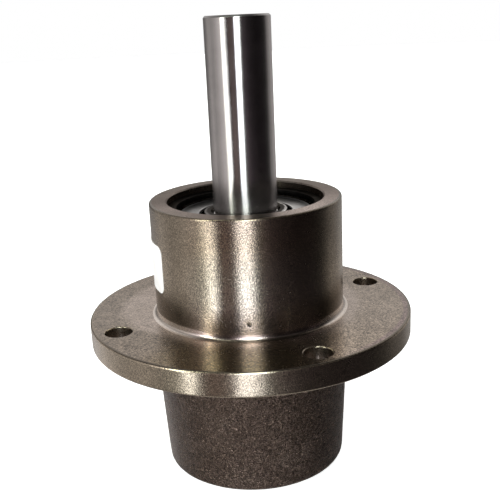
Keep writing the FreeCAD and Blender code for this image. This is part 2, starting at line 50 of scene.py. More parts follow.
# ------------------------------------------------------------------ node helpers
class Tree:
    """A few short cuts for building a node tree."""

    def __init__(self, tree):
        self.t = tree

    def add(self, kind, **props):
        n = self.t.nodes.new(kind)
        for k, v in props.items():
            setattr(n, k, v)
        return n

    def put(self, socket, value):
        if isinstance(value, bpy.types.NodeSocket):
            self.t.links.new(value, socket)
        elif value is not None:
            socket.default_value = value

    def math(self, op, a, b=None, c=None, clamp=False):
        n = self.add("ShaderNodeMath", operation=op, use_clamp=clamp)
        for s, v in zip(n.inputs, (a, b, c)):
            self.put(s, v)
        return n.outputs[0]

    def remap(self, v, a, b, c=0.0, d=1.0, kind="LINEAR"):
        n = self.add("ShaderNodeMapRange", interpolation_type=kind, clamp=True)
        for s, x in zip(n.inputs, (v, a, b, c, d)):
            self.put(s, x)
        return n.outputs[0]

    def vec(self, op, a, b=None, scale=None):
        n = self.add("ShaderNodeVectorMath", operation=op)
        self.put(n.inputs[0], a)
        if b is not None:
            self.put(n.inputs[1], b)
        if scale is not None:
            self.put(n.inputs["Scale"], scale)
        return n.outputs["Value"] if op in ("LENGTH", "DOT_PRODUCT", "DISTANCE") else n.outputs["Vector"]

    def mix(self, f, a, b, kind="MIX"):
        n = self.add("ShaderNodeMix", data_type="RGBA", blend_type=kind)
        self.put(n.inputs[0], f)
        self.put(n.inputs[6], a)
        self.put(n.inputs[7], b)
        return n.outputs[2]

    def ramp(self, f, stops, kind="LINEAR"):
        n = self.add("ShaderNodeValToRGB")
        n.color_ramp.interpolation = kind
        e = n.color_ramp.elements
        while len(e) > 1:
            e.remove(e[-1])
        e[0].position = stops[0][0]
        for p, _ in stops[1:]:
            e.new(p)
        for x, (_, c) in zip(e, stops):
            x.color = (*c, 1.0) if hasattr(c, "__len__") else (c, c, c, 1.0)
        self.put(n.inputs[0], f)
        return n.outputs[0]

    def noise(self, vector, scale, detail=2.0, rough=0.5, distortion=0.0):
        n = self.add("ShaderNodeTexNoise")
        self.put(n.inputs["Vector"], vector)
        n.inputs["Scale"].default_value = scale
        n.inputs["Detail"].default_value = detail
        n.inputs["Roughness"].default_value = rough
        n.inputs["Distortion"].default_value = distortion
        return n.outputs[0]

    def cells(self, vector, scale, feature="F1", randomness=1.0):
        n = self.add("ShaderNodeTexVoronoi", feature=feature)
        self.put(n.inputs["Vector"], vector)
        n.inputs["Scale"].default_value = scale
        n.inputs["Randomness"].default_value = randomness
        return n

    def bump(self, height, distance, strength=1.0, normal=None):
        n = self.add("ShaderNodeBump")
        n.inputs["Strength"].default_value = strength
        n.inputs["Distance"].default_value = distance
        self.put(n.inputs["Height"], height)
        if normal is not None:
            self.put(n.inputs["Normal"], normal)
        return n.outputs[0]

    def stretch(self, vector, scale):
        n = self.add("ShaderNodeMapping")
        self.put(n.inputs["Vector"], vector)
        n.inputs["Scale"].default_value = scale
        return n.outputs[0]

    def position(self):
        return self.add("ShaderNodeTexCoord").outputs["Object"]

    def lathe_lines(self, bsdf, amount):
        """Fine tool lines run round the axis, so a reflection smears along it."""
        tangent = self.add("ShaderNodeTangent", direction_type="RADIAL", axis="Z")
        self.put(bsdf.inputs["Tangent"], tangent.outputs[0])
        bsdf.inputs["Anisotropic"].default_value = amount
        bsdf.inputs["Anisotropic Rotation"].default_value = 0.25


def material(name):
    m = bpy.data.materials.new(name)
    m.use_nodes = True
    m.node_tree.nodes.clear()
    t = Tree(m.node_tree)
    out = t.add("ShaderNodeOutputMaterial")
    bsdf = t.add("ShaderNodeBsdfPrincipled")
    t.put(out.inputs["Surface"], bsdf.outputs[0])
    return m, t, bsdf


# ------------------------------------------------------------------ finishes
PIT_ANGLE, PIT_Z = math.radians(-115.5), 6.1  # a small casting pit low on the boss


def turned_iron():
    """Turned cast iron: brownish, half bright, with a fine peppery grain of open graphite, and painted highlights and
    shade.
    """
    m, t, b = material("turned_iron")
    p = t.position()
    grain = t.noise(p, 2500.0, 1.0, 0.5)
    pepper = t.noise(t.vec("ADD", p, (0.37, 0.11, 0.23)), 2400.0, 1.5, 0.6)
    cloud = t.noise(p, 60.0, 3.0, 0.6)
    stain = t.noise(p, 190.0, 3.0, 0.65)
    tint = t.ramp(cloud, [(0.3, (0.358, 0.298, 0.228)), (0.7, (0.412, 0.347, 0.272))])
    # open pores stay dark, the iron between them is a little brighter
    dark = t.remap(pepper, 0.28, 0.68, 0.34, 1.45)
    # faint lines left by the tool
    lines = t.noise(t.stretch(p, (30.0, 30.0, 2600.0)), 1.0, 2.0, 0.6)
    dark = t.math("MULTIPLY", dark, t.remap(lines, 0.3, 0.7, 0.95, 1.05))
    # painted highlight: a bright band on the radius at the foot of the boss, bluer and with less pepper, strongest on
    # the left
    sep = t.add("ShaderNodeSeparateXYZ")
    t.put(sep.inputs[0], p)
    z = sep.outputs[2]
    flat = t.add("ShaderNodeCombineXYZ")
    t.put(flat.inputs[0], sep.outputs[0])
    t.put(flat.inputs[1], sep.outputs[1])
    reach = t.vec("LENGTH", flat.outputs[0])
    unit = t.vec("NORMALIZE", flat.outputs[0])
    right = t.vec("DOT_PRODUCT", unit, (*RIGHT, 0.0))
    away = t.vec("DOT_PRODUCT", unit, (*AWAY, 0.0))
    beside = t.math("ADD", t.remap(right, -0.35, -0.60, 0.0, 1.0, "SMOOTHSTEP"), t.remap(right, 0.66, 0.76, 0.0, 1.0, "SMOOTHSTEP"))
    start = t.math("ADD", t.math("MULTIPLY", t.remap(z, 0.00042, 0.00068), t.math("SUBTRACT", 1.0, beside)), t.math("MULTIPLY", t.remap(z, -0.0003, -0.0001), beside))
    top = t.math("SUBTRACT", z, t.math("MULTIPLY", beside, 0.0008))
    highlight_zone = t.math("MULTIPLY", t.remap(top, 0.00205, 0.00240, 1.0, 0.0, "SMOOTHSTEP"), start)
    highlight_zone = t.math("MULTIPLY", highlight_zone, t.remap(reach, 0.0420, 0.0430, 1.0, 0.0))
    # painted shade: the highlight is dimmed to a tenth over one stretch of bearings
    bearing = t.math("ARCTAN2", right, t.math("MULTIPLY", away, -1.0))
    highlight_dim_span = t.math("MULTIPLY", t.remap(bearing, 0.14, 0.26, 0.0, 1.0, "SMOOTHSTEP"), t.remap(bearing, 0.56, 0.68, 1.0, 0.0, "SMOOTHSTEP"))
    highlight_gain = t.remap(z, 0.0004, 0.0010, 0.95, 1.50, "SMOOTHSTEP")
    highlight_gain = t.math("MULTIPLY", highlight_gain, t.remap(right, -0.75, -0.40, 1.42, 1.0, "SMOOTHSTEP"))
    highlight_gain = t.math("MULTIPLY", highlight_gain, t.remap(right, 0.60, 0.80, 1.0, 1.12, "SMOOTHSTEP"))
    painted_highlight = t.math("MULTIPLY", t.math("MULTIPLY", highlight_zone, highlight_gain), t.remap(highlight_dim_span, 0.0, 1.0, 1.0, 0.10))
    # painted shade: and to about a fifth over a short stretch between two highlights
    highlight_break_span = t.math("MULTIPLY", t.remap(bearing, -0.44, -0.34, 0.0, 1.0, "SMOOTHSTEP"), t.remap(bearing, -0.24, -0.15, 1.0, 0.0, "SMOOTHSTEP"))
    painted_highlight = t.math("MULTIPLY", painted_highlight, t.remap(highlight_break_span, 0.0, 1.0, 1.0, 0.22))
    dark = t.math("ADD", t.math("MULTIPLY", dark, t.remap(highlight_zone, 0.0, 1.0, 1.0, 0.45)), painted_highlight)
    tint = t.mix(highlight_zone, tint, t.vec("MULTIPLY", tint, t.mix(beside, (1.0, 1.02, 1.11, 1.0), (1.0, 1.07, 1.24, 1.0))))
    low = t.math("MULTIPLY", t.remap(z, 0.00042, 0.00068, 1.0, 0.0), t.math("MULTIPLY", t.remap(z, -0.0003, -0.0001), t.remap(reach, 0.0420, 0.0430, 1.0, 0.0)))
    # painted shade in the corner at the foot of the boss, darker by half
    dark = t.math("MULTIPLY", dark, t.remap(t.math("MULTIPLY", low, t.math("SUBTRACT", 1.0, beside)), 0.0, 1.0, 1.0, 0.50))
    # painted shade on the flange's outer edge where it turns level, darker toward the front, and a painted highlight on
    # its side just below
    out = t.math("MULTIPLY", t.remap(z, -0.00034, -0.00018), t.remap(reach, 0.0636, 0.0638))
    edge_shade = t.remap(bearing, -1.30, -0.85, 0.74, 0.38, "SMOOTHSTEP")
    dark = t.math("MULTIPLY", dark, t.math("ADD", t.math("MULTIPLY", out, t.math("SUBTRACT", edge_shade, 1.0)), 1.0))
    edge_highlight = t.math("MULTIPLY", t.remap(z, -0.00090, -0.00072), t.remap(z, -0.00042, -0.00030, 1.0, 0.0))
    dark = t.math("MULTIPLY", dark, t.remap(t.math("MULTIPLY", edge_highlight, t.remap(reach, 0.0638, 0.0640)), 0.0, 1.0, 1.0, 1.60))
    # painted shade and light on the boss's two sides, by height: darker at the foot and under the rim, lighter at mid
    # height
    right_side_shading = t.ramp(t.math("DIVIDE", z, 0.046), [(0.062, 1.0), (0.082, 0.56), (0.17, 0.62), (0.25, 0.92), (0.33, 1.24), (0.40, 1.46), (0.47, 1.36), (0.55, 1.12), (0.62, 1.04), (0.70, 0.92), (0.78, 0.84), (0.92, 0.78)])
    left_side_shading = t.ramp(t.math("DIVIDE", z, 0.046), [(0.062, 1.0), (0.082, 0.64), (0.15, 0.70), (0.27, 1.0), (0.40, 1.10), (0.55, 1.05), (0.70, 0.97), (0.92, 0.94)])
    painted_shading = t.mix(t.remap(right, 0.60, 0.78, 0.0, 1.0, "SMOOTHSTEP"), (1.0, 1.0, 1.0, 1.0), right_side_shading)
    painted_shading = t.mix(t.remap(right, -0.45, -0.68, 0.0, 1.0, "SMOOTHSTEP"), painted_shading, left_side_shading)
    dark = t.math("MULTIPLY", dark, painted_shading)
    # painted highlight tint in front: lighter and greyer toward the foot, darker and browner under the rim
    highlight_tint = t.ramp(t.math("DIVIDE", z, 0.046), [(0.0, (1.0, 1.0, 1.0)), (0.03, (1.10, 1.045, 1.27)), (0.09, (1.08, 1.05, 1.24)), (0.175, (1.18, 1.18, 1.33)), (0.30, (1.17, 1.205, 1.29)), (0.456, (1.09, 1.13, 1.18)), (0.61, (1.0, 1.01, 1.03)), (0.76, (0.95, 0.91, 0.89)), (0.91, (0.90, 0.86, 0.86))])
    highlight_tint = t.mix(t.remap(right, 0.60, 0.78, 0.0, 1.0, "SMOOTHSTEP"), highlight_tint, (1.0, 1.0, 1.0, 1.0))
    highlight_tint = t.mix(t.remap(right, -0.45, -0.68, 0.0, 1.0, "SMOOTHSTEP"), highlight_tint, (1.0, 1.0, 1.0, 1.0))
    tint = t.vec("MULTIPLY", tint, highlight_tint)
    # painted shade: the upper part of the boss's outer round is darkened by half
    dark = t.math("MULTIPLY", dark, t.remap(z, 0.04555, 0.0458, 1.0, 0.5))
    dull = t.remap(stain, 0.5, 0.75, 1.0, 0.9, "SMOOTHSTEP")
    # the pit: a short slanting hollow, its colour darkened inside as painted shade
    centre = (0.0381 * math.cos(PIT_ANGLE), 0.0381 * math.sin(PIT_ANGLE), PIT_Z * MM)
    rel = t.vec("SUBTRACT", p, centre)
    along = Vector((-math.sin(PIT_ANGLE), math.cos(PIT_ANGLE), -1.25)).normalized()
    across = Vector((-1.25 * math.sin(PIT_ANGLE), 1.25 * math.cos(PIT_ANGLE), 1.0)).normalized()
    u = t.math("DIVIDE", t.vec("DOT_PRODUCT", rel, tuple(along)), 0.00135)
    v = t.math("DIVIDE", t.vec("DOT_PRODUCT", rel, tuple(across)), 0.00046)
    far = t.math("ADD", t.math("MULTIPLY", u, u), t.math("MULTIPLY", v, v))
    far = t.math("ADD", far, t.math("MULTIPLY", t.math("SUBTRACT", grain, 0.5), 1.2))
    pit = t.remap(far, 0.35, 1.25, 0.16, 1.0, "SMOOTHSTEP")
    tint = t.vec("SCALE", tint, scale=t.math("MULTIPLY", t.math("MULTIPLY", dark, dull), pit))
    t.put(b.inputs["Base Color"], tint)
    b.inputs["Metallic"].default_value = 1.0
    rough = t.math("ADD", t.remap(stain, 0.3, 0.7, 0.200, 0.255), t.remap(grain, 0.3, 0.7, 0.03, -0.02))
    t.put(b.inputs["Roughness"], rough)
    t.lathe_lines(b, 0.83)
    # the flange's edge was turned with a finer cut
    t.put(b.inputs["Normal"], t.bump(t.math("MULTIPLY", grain, t.remap(reach, 0.0600, 0.0640, 1.0, 0.62)), 3.3e-5))
    return m


def turned_face():
    """The faced top of the flange: the same iron, more peppery, with a painted reflection lightening it close to the
    boss, painted shade and tint by bearing, and faint rings from the tool.
    """
    m, t, b = material("turned_face")
    p = t.position()
    sep = t.add("ShaderNodeSeparateXYZ")
    t.put(sep.inputs[0], p)
    flat = t.add("ShaderNodeCombineXYZ")
    t.put(flat.inputs[0], sep.outputs[0])
    t.put(flat.inputs[1], sep.outputs[1])
    reach = t.vec("LENGTH", flat.outputs[0])
    grain = t.noise(p, 2000.0, 1.0, 0.5)
    pepper = t.noise(t.vec("ADD", p, (0.31, 0.17, 0.29)), 1750.0, 1.5, 0.6)
    cloud = t.noise(p, 60.0, 3.0, 0.6)
    stain = t.noise(p, 170.0, 3.0, 0.65)
    tint = t.ramp(cloud, [(0.3, (0.238, 0.193, 0.149)), (0.7, (0.276, 0.226, 0.179))])
    dark = t.remap(pepper, 0.27, 0.73, 0.08, 1.86)
    dull = t.remap(stain, 0.45, 0.75, 1.04, 0.86, "SMOOTHSTEP")
    # tool rings
    turn = t.add("ShaderNodeCombineXYZ")
    t.put(turn.inputs[0], reach)
    rings = t.remap(t.noise(turn.outputs[0], 1500.0, 2.0, 0.6), 0.3, 0.7, 0.95, 1.05)
    # painted reflection: a lighter, bluer zone round the boss, wider on one side
    lean = TURN - math.radians(165.0)
    side = t.vec("DOT_PRODUCT", t.vec("NORMALIZE", flat.outputs[0]), (math.cos(lean), -math.sin(lean), 0.0))
    wide = t.remap(side, 0.55, 1.0, 0.0450, 0.0535, "SMOOTHSTEP")
    edge = t.math("ADD", t.math("SUBTRACT", reach, wide), t.math("MULTIPLY", t.math("SUBTRACT", stain, 0.5), 0.008))
    highlight_zone = t.remap(edge, -0.0035, 0.0025, 1.0, 0.0, "SMOOTHSTEP")
    gain = t.math("ADD", t.math("MULTIPLY", highlight_zone, t.remap(side, -0.8, 0.6, 0.28, 0.58)), 1.0)
    dark = t.math("ADD", t.math("MULTIPLY", dark, t.remap(highlight_zone, 0.0, 1.0, 1.0, 0.55)), t.math("MULTIPLY", highlight_zone, 0.45))
    gain = t.math("MULTIPLY", t.math("MULTIPLY", gain, rings), t.math("MULTIPLY", dark, dull))
    # painted shade and light by bearing, darkest on the side away from the label's far end
    toward = t.math("MULTIPLY", t.vec("DOT_PRODUCT", flat.outputs[0], (*AWAY, 0.0)), -1.0)
    bearing = t.math("ARCTAN2", t.vec("DOT_PRODUCT", flat.outputs[0], (*RIGHT, 0.0)), toward)
    stops = [(-120, 1.0), (-95, 0.90), (-60, 0.93), (-36, 0.97), (-22, 0.92), (-10, 0.69), (0, 0.51), (8, 0.53), (16, 0.90), (24, 1.38), (40, 1.35), (56, 1.0)]
    painted_shading = t.ramp(t.math("ADD", t.math("DIVIDE", bearing, 2.0 * math.pi), 0.5), [((a + 180.0) / 360.0, 0.6 * v) for a, v in stops])
    gain = t.math("MULTIPLY", gain, t.math("DIVIDE", painted_shading, 0.6))
    # painted highlight tint: warmer across the front
    front_highlight_tint = t.math("MULTIPLY", t.remap(bearing, -0.75, -0.50, 0.0, 1.0, "SMOOTHSTEP"), t.remap(bearing, 0.22, 0.42, 1.0, 0.0, "SMOOTHSTEP"))
    tint = t.mix(front_highlight_tint, tint, t.vec("MULTIPLY", tint, (0.90, 0.85, 0.71)))
    # painted reflection: a darker, purpler tone on the flange's outer band toward +RIGHT
    edge_reflection_tone = t.math("MULTIPLY", t.remap(reach, 0.0617, 0.0624), t.remap(t.vec("DOT_PRODUCT", t.vec("NORMALIZE", flat.outputs[0]), (*RIGHT, 0.0)), 0.45, 0.75, 0.0, 1.0, "SMOOTHSTEP"))
    tint = t.mix(edge_reflection_tone, tint, t.vec("MULTIPLY", tint, (0.84, 0.78, 0.90)))
    t.put(b.inputs["Base Color"], t.vec("SCALE", t.mix(highlight_zone, tint, t.vec("MULTIPLY", tint, (1.0, 1.02, 1.10))), scale=gain))
    b.inputs["Metallic"].default_value = 1.0
    t.put(b.inputs["Roughness"], t.math("ADD", t.remap(stain, 0.3, 0.7, 0.205, 0.265), t.remap(grain, 0.3, 0.7, 0.03, -0.02)))
    t.lathe_lines(b, 0.83)
    t.put(b.inputs["Normal"], t.bump(grain, 3.0e-5))
    return m


def bored_iron(name, gain):
    """The same iron inside the bores and drilled holes, with lines round the axis: darker than the outside, as painted
    shade in the hollows.
    """
    m, t, b = material(name)
    p = t.position()
    grain = t.noise(p, 1900.0, 2.0, 0.6)
    cloud = t.noise(p, 120.0, 3.0, 0.6)
    lines = t.noise(t.stretch(p, (40.0, 40.0, 5200.0)), 1.0, 2.0, 0.6)
    # painted shade: in the bores (gain 1) the side opposite AWAY is darkened, down to a quarter
    painted_shading = t.remap(t.vec("DOT_PRODUCT", p, (*AWAY, 0.0)), -0.022, -0.004, 0.25, 1.0, "SMOOTHSTEP") if gain == 1.0 else 1.0
    t.put(b.inputs["Base Color"], t.vec("SCALE", t.ramp(cloud, [(0.3, tuple(c * gain for c in (0.105, 0.086, 0.070))), (0.7, tuple(c * gain for c in (0.165, 0.138, 0.115)))]), scale=painted_shading))
    b.inputs["Metallic"].default_value = 1.0
    b.inputs["Specular Tint"].default_value = (0.62, 0.55, 0.50, 1.0)
    t.put(b.inputs["Roughness"], t.remap(grain, 0.3, 0.7, 0.24, 0.36))
    t.put(b.inputs["Normal"], t.bump(t.math("ADD", lines, t.math("MULTIPLY", grain, 0.6)), 1.6e-5))
    return m


def faced_iron():
    """The faced top of the rim: duller than the boss, with painted shade darker toward one side and painted highlights
    at some bearings.
    """
    m, t, b = material("faced_iron")
    p = t.position()
    grain = t.noise(p, 1700.0, 2.0, 0.6)
    cloud = t.noise(p, 170.0, 4.0, 0.65)
    # painted shade: darker toward -AWAY, lighter toward AWAY, mottled at random
    lean = t.vec("DOT_PRODUCT", p, (AWAY[0] / 0.038, AWAY[1] / 0.038, 0.0))
    painted_shading = t.math("ADD", lean, t.math("MULTIPLY", t.math("SUBTRACT", cloud, 0.5), 2.2))
    tone = t.ramp(t.remap(painted_shading, -0.9, 0.8), [(0.0, (0.070, 0.053, 0.043)), (0.5, (0.086, 0.067, 0.056)), (1.0, (0.205, 0.183, 0.162))])
    pores = t.remap(grain, 0.30, 0.66, 0.45, 1.3)
    # painted highlight: lighter at some bearings, most to the sides of the label's opposite face
    across = t.vec("DOT_PRODUCT", p, (*RIGHT, 0.0))
    toward = t.math("MULTIPLY", t.vec("DOT_PRODUCT", p, (*AWAY, 0.0)), -1.0)
    bearing = t.math("ADD", t.math("DIVIDE", t.math("ARCTAN2", across, toward), 2.0 * math.pi), 0.5)
    stops = [(-110, 0.0), (-82, 0.08), (-62, 0.50), (-40, 0.38), (-16, 0.15), (0, 0.14), (15, 0.34), (29, 0.92), (45, 1.0), (60, 0.80), (80, 0.48), (106, 0.05), (125, 0.0)]
    wear_and_sheen = t.ramp(bearing, [((a + 180.0) / 360.0, v) for a, v in stops])
    wear_and_sheen = t.math("MULTIPLY", wear_and_sheen, t.remap(cloud, 0.35, 0.65, 0.86, 1.10))
    t.put(b.inputs["Base Color"], t.vec("SCALE", t.mix(wear_and_sheen, tone, (0.56, 0.490, 0.455, 1.0)), scale=pores))
    b.inputs["Metallic"].default_value = 1.0
    b.inputs["Specular Tint"].default_value = (0.94, 0.88, 0.84, 1.0)
    t.put(b.inputs["Roughness"], t.remap(cloud, 0.3, 0.7, 0.26, 0.36))
    t.lathe_lines(b, 0.6)
    t.put(b.inputs["Normal"], t.bump(grain, 3.0e-5))
    return m


def cast_iron():
    """The rough cast skin of the hub."""
    m, t, b = material("cast_skin")
    p = t.position()
    lumps = t.noise(p, 900.0, 4.0, 0.62)
    grain = t.noise(p, 2000.0, 2.0, 0.65)
    glint = t.noise(t.vec("ADD", p, (0.19, 0.41, 0.07)), 2300.0, 1.0, 0.5)
    cloud = t.noise(p, 70.0, 3.0, 0.6)
    pits = t.cells(p, 560.0).outputs["Distance"]
    tint = t.ramp(cloud, [(0.25, (0.075, 0.0525, 0.0418)), (0.5, (0.091, 0.0648, 0.0522)), (0.75, (0.111, 0.0810, 0.0663))])
    speck = t.remap(grain, 0.28, 0.72, 0.02, 2.05)
    speck = t.math("MAXIMUM", speck, 0.05)
    # wandering fine ridges left by the mould
    worm = t.noise(p, 560.0, 1.0, 0.5, 2.4)
    ridge = t.remap(t.math("ABSOLUTE", t.math("SUBTRACT", worm, 0.5)), 0.0, 0.06, 1.0, 0.0, "SMOOTHSTEP")
    speck = t.math("MULTIPLY", speck, t.remap(ridge, 0.0, 1.0, 0.78, 1.75))
    # painted light: a little lighter on the side that faces -AWAY
    sep = t.add("ShaderNodeSeparateXYZ")
    t.put(sep.inputs[0], p)
    flat = t.add("ShaderNodeCombineXYZ")
    t.put(flat.inputs[0], sep.outputs[0])
    t.put(flat.inputs[1], sep.outputs[1])
    painted_front_light = t.vec("DOT_PRODUCT", t.vec("NORMALIZE", flat.outputs[0]), (-AWAY[0], -AWAY[1], 0.0))
    speck = t.math("MULTIPLY", speck, t.remap(painted_front_light, 0.68, 0.98, 0.90, 1.20, "SMOOTHSTEP"))
    # and the swirls of its coating
    swirl = t.math("SINE", t.math("MULTIPLY", t.noise(p, 95.0, 2.0, 0.5, 0.9), 150.0))
    patch = t.remap(t.noise(p, 75.0, 2.0, 0.5), 0.38, 0.62, 0.10, 0.34, "SMOOTHSTEP")
    speck = t.math("MULTIPLY", speck, t.math("ADD", t.math("MULTIPLY", swirl, patch), 1.0))
    blot = t.remap(lumps, 0.33, 0.62, 0.70, 1.16, "SMOOTHSTEP")
    # painted glints: a few grains are made up to four times brighter
    painted_glint_gain = t.remap(glint, 0.64, 0.76, 1.0, 4.0, "SMOOTHSTEP")
    tint = t.vec("SCALE", tint, scale=t.math("MULTIPLY", t.math("MULTIPLY", speck, blot), painted_glint_gain))
    t.put(b.inputs["Base Color"], tint)
    b.inputs["Metallic"].default_value = 0.95
    t.put(b.inputs["Roughness"], t.remap(lumps, 0.3, 0.7, 0.30, 0.44))
    h = t.math("ADD", t.math("MULTIPLY", lumps, 0.9), t.math("MULTIPLY", grain, 0.5))
    h = t.math("ADD", h, t.remap(pits, 0.0, 0.2, -0.5, 0.0, "SMOOTHSTEP"))
    h = t.math("ADD", h, t.math("MULTIPLY", ridge, 0.35))
    h = t.math("ADD", h, t.math("MULTIPLY", t.math("MULTIPLY", swirl, patch), 0.45))
    t.put(b.inputs["Normal"], t.bump(h, 2.9e-4))
    return m


def ground_steel(name, colour, rough, lines=0.0, streak=0.0, scratches=0.0, ripple=4.0e-6, foot=None):
    """Ground and polished steel, with faint lines round the axis."""
    m, t, b = material(name)
    p = t.position()
    fine = t.noise(t.stretch(p, (60.0, 60.0, 9000.0)), 1.0, 2.0, 0.6)
    smear = t.noise(p, 140.0, 3.0, 0.6)
    long = t.noise(t.stretch(p, (700.0, 700.0, 12.0)), 1.0, 2.0, 0.6)
    tone = t.math("ADD", t.math("MULTIPLY", smear, 0.5), t.math("MULTIPLY", long, 0.5))
    t.put(b.inputs["Base Color"], t.ramp(tone, [(0.32, tuple(0.90 * c for c in colour)), (0.68, tuple(min(1.0, 1.06 * c) for c in colour))]))
    b.inputs["Metallic"].default_value = 1.0
    r = t.math("ADD", t.remap(smear, 0.3, 0.75, rough * 0.9, rough * 1.12), t.math("MULTIPLY", t.math("SUBTRACT", fine, 0.5), streak))
    if foot:
        # ground with a coarser wheel towards the bearing
        sep = t.add("ShaderNodeSeparateXYZ")
        t.put(sep.inputs[0], p)
        r = t.math("MULTIPLY", r, t.remap(sep.outputs[2], foot[0], foot[1], foot[2], 1.0, "SMOOTHSTEP"))
    t.put(b.inputs["Roughness"], r)
    if lines:
        t.lathe_lines(b, lines)
    wave = t.noise(p, 420.0, 2.0, 0.6)
    h = t.math("ADD", t.math("MULTIPLY", fine, 0.02), wave)
    t.put(b.inputs["Normal"], t.bump(h, ripple + scratches))
    return m


def pressed_steel():
    """Rolled sheet of the shields and cages."""
    m, t, b = material("pressed_steel")
    p = t.position()
    fine = t.noise(p, 2600.0, 2.0, 0.6)
    cloud = t.noise(p, 160.0, 3.0, 0.6)
    t.put(b.inputs["Base Color"], t.ramp(cloud, [(0.3, (0.70, 0.69, 0.68)), (0.7, (0.78, 0.77, 0.76))]))
    b.inputs["Metallic"].default_value = 1.0
    t.put(b.inputs["Roughness"], t.remap(cloud, 0.3, 0.7, 0.19, 0.25))
    t.put(b.inputs["Normal"], t.bump(fine, 1.2e-6))
    return m


def shaded_sheet():
    """The upper shield: the same sheet, with painted shade darkening it toward its rim and toward two sides."""
    m, t, b = material("shaded_sheet")
    p = t.position()
    fine = t.noise(p, 2600.0, 2.0, 0.6)
    cloud = t.noise(p, 160.0, 3.0, 0.6)
    sep = t.add("ShaderNodeSeparateXYZ")
    t.put(sep.inputs[0], p)
    flat = t.add("ShaderNodeCombineXYZ")
    t.put(flat.inputs[0], sep.outputs[0])
    t.put(flat.inputs[1], sep.outputs[1])
    blur = t.math("MULTIPLY", t.math("SUBTRACT", cloud, 0.5), 0.006)
    reach = t.math("ADD", t.vec("LENGTH", flat.outputs[0]), blur)
    away = t.math("ADD", t.vec("DOT_PRODUCT", p, (*AWAY, 0.0)), blur)
    tint = t.ramp(cloud, [(0.3, (0.84, 0.83, 0.82)), (0.7, (0.92, 0.91, 0.90))])
    # painted shade: darker toward the rim, toward -RIGHT and toward AWAY
    clear = t.ramp(t.remap(reach, 0.017, 0.029), [(0.0, 0.92), (0.17, 0.88), (0.33, 0.80), (0.46, 0.56), (0.58, 0.34), (0.75, 0.17), (0.92, 0.08)])
    clear = t.math("MULTIPLY", clear, t.remap(t.vec("DOT_PRODUCT", p, (*RIGHT, 0.0)), -0.012, 0.010, 0.72, 1.14, "SMOOTHSTEP"))
    clear = t.math("MULTIPLY", clear, t.remap(away, 0.001, 0.013, 1.0, 0.28, "SMOOTHSTEP"))
    t.put(b.inputs["Base Color"], t.vec("SCALE", tint, scale=clear))
    b.inputs["Metallic"].default_value = 1.0
    b.inputs["Specular Tint"].default_value = (0.70, 0.70, 0.70, 1.0)
    t.put(b.inputs["Roughness"], t.remap(cloud, 0.3, 0.7, 0.27, 0.33))
    t.put(b.inputs["Normal"], t.bump(fine, 1.2e-6))
    return m


def ring_painted_reflection():
    """The upper bearing's inner ring: painted dark as shade, with a painted reflection that makes its outer edge bright
    on one side.
    """
    m, t, b = material("ring_painted_reflection")
    p = t.position()
    fine = t.noise(p, 2400.0, 2.0, 0.6)
    cloud = t.noise(p, 420.0, 3.0, 0.6)
    sep = t.add("ShaderNodeSeparateXYZ")
    t.put(sep.inputs[0], p)
    flat = t.add("ShaderNodeCombineXYZ")
    t.put(flat.inputs[0], sep.outputs[0])
    t.put(flat.inputs[1], sep.outputs[1])
    blur = t.math("MULTIPLY", t.math("SUBTRACT", cloud, 0.5), 0.0012)
    reach = t.math("ADD", t.vec("LENGTH", flat.outputs[0]), blur)
    # painted reflection: the outer edge is bright on the +RIGHT side, dimmer toward -RIGHT
    side = t.remap(t.vec("DOT_PRODUCT", p, (*RIGHT, 0.0)), -0.006, 0.009, 0.28, 1.0, "SMOOTHSTEP")
    painted_reflection = t.math("MULTIPLY", t.remap(reach, 0.0152, 0.0159, 0.0, 1.0, "SMOOTHSTEP"), side)
    tint = t.ramp(cloud, [(0.3, (0.020, 0.018, 0.017)), (0.7, (0.045, 0.041, 0.038))])
    t.put(b.inputs["Base Color"], t.mix(painted_reflection, tint, (0.94, 0.925, 0.91, 1.0)))
    b.inputs["Metallic"].default_value = 1.0
    b.inputs["Specular Tint"].default_value = (0.52, 0.51, 0.50, 1.0)
    t.put(b.inputs["Roughness"], t.remap(cloud, 0.3, 0.7, 0.16, 0.24))
    t.put(b.inputs["Normal"], t.bump(fine, 1.5e-6))
    return m


def black_spring():
    """Phosphated spring steel of the circlips, rubbed brighter in places."""
    m, t, b = material("black_spring_steel")
    p = t.position()
    fine = t.noise(p, 3000.0, 3.0, 0.6)
    wear_and_sheen = t.noise(p, 260.0, 3.0, 0.65)
    t.put(b.inputs["Base Color"], t.ramp(wear_and_sheen, [(0.35, (0.022, 0.021, 0.020)), (0.6, (0.040, 0.038, 0.036)), (0.78, (0.09, 0.085, 0.08))]))
    b.inputs["Metallic"].default_value = 1.0
    b.inputs["Specular Tint"].default_value = (0.45, 0.44, 0.43, 1.0)
    t.put(b.inputs["Roughness"], t.remap(fine, 0.3, 0.7, 0.30, 0.46))
    t.put(b.inputs["Normal"], t.bump(fine, 1.2e-5))
    return m


def painted_gap_shade():
    """Where the bearing's gap is open, the steel is painted dark as shade, mottled."""
    m, t, b = material("gap_shaded_steel")
    p = t.position()
    blot = t.noise(p, 700.0, 3.0, 0.6)
    t.put(b.inputs["Base Color"], t.ramp(blot, [(0.3, (0.022, 0.020, 0.018)), (0.7, (0.060, 0.055, 0.050))]))
    b.inputs["Metallic"].default_value = 1.0
    b.inputs["Specular Tint"].default_value = (0.22, 0.21, 0.20, 1.0)
    t.put(b.inputs["Roughness"], t.remap(blot, 0.3, 0.7, 0.22, 0.4))
    t.put(b.inputs["Normal"], t.bump(blot, 4.0e-5))
    return m


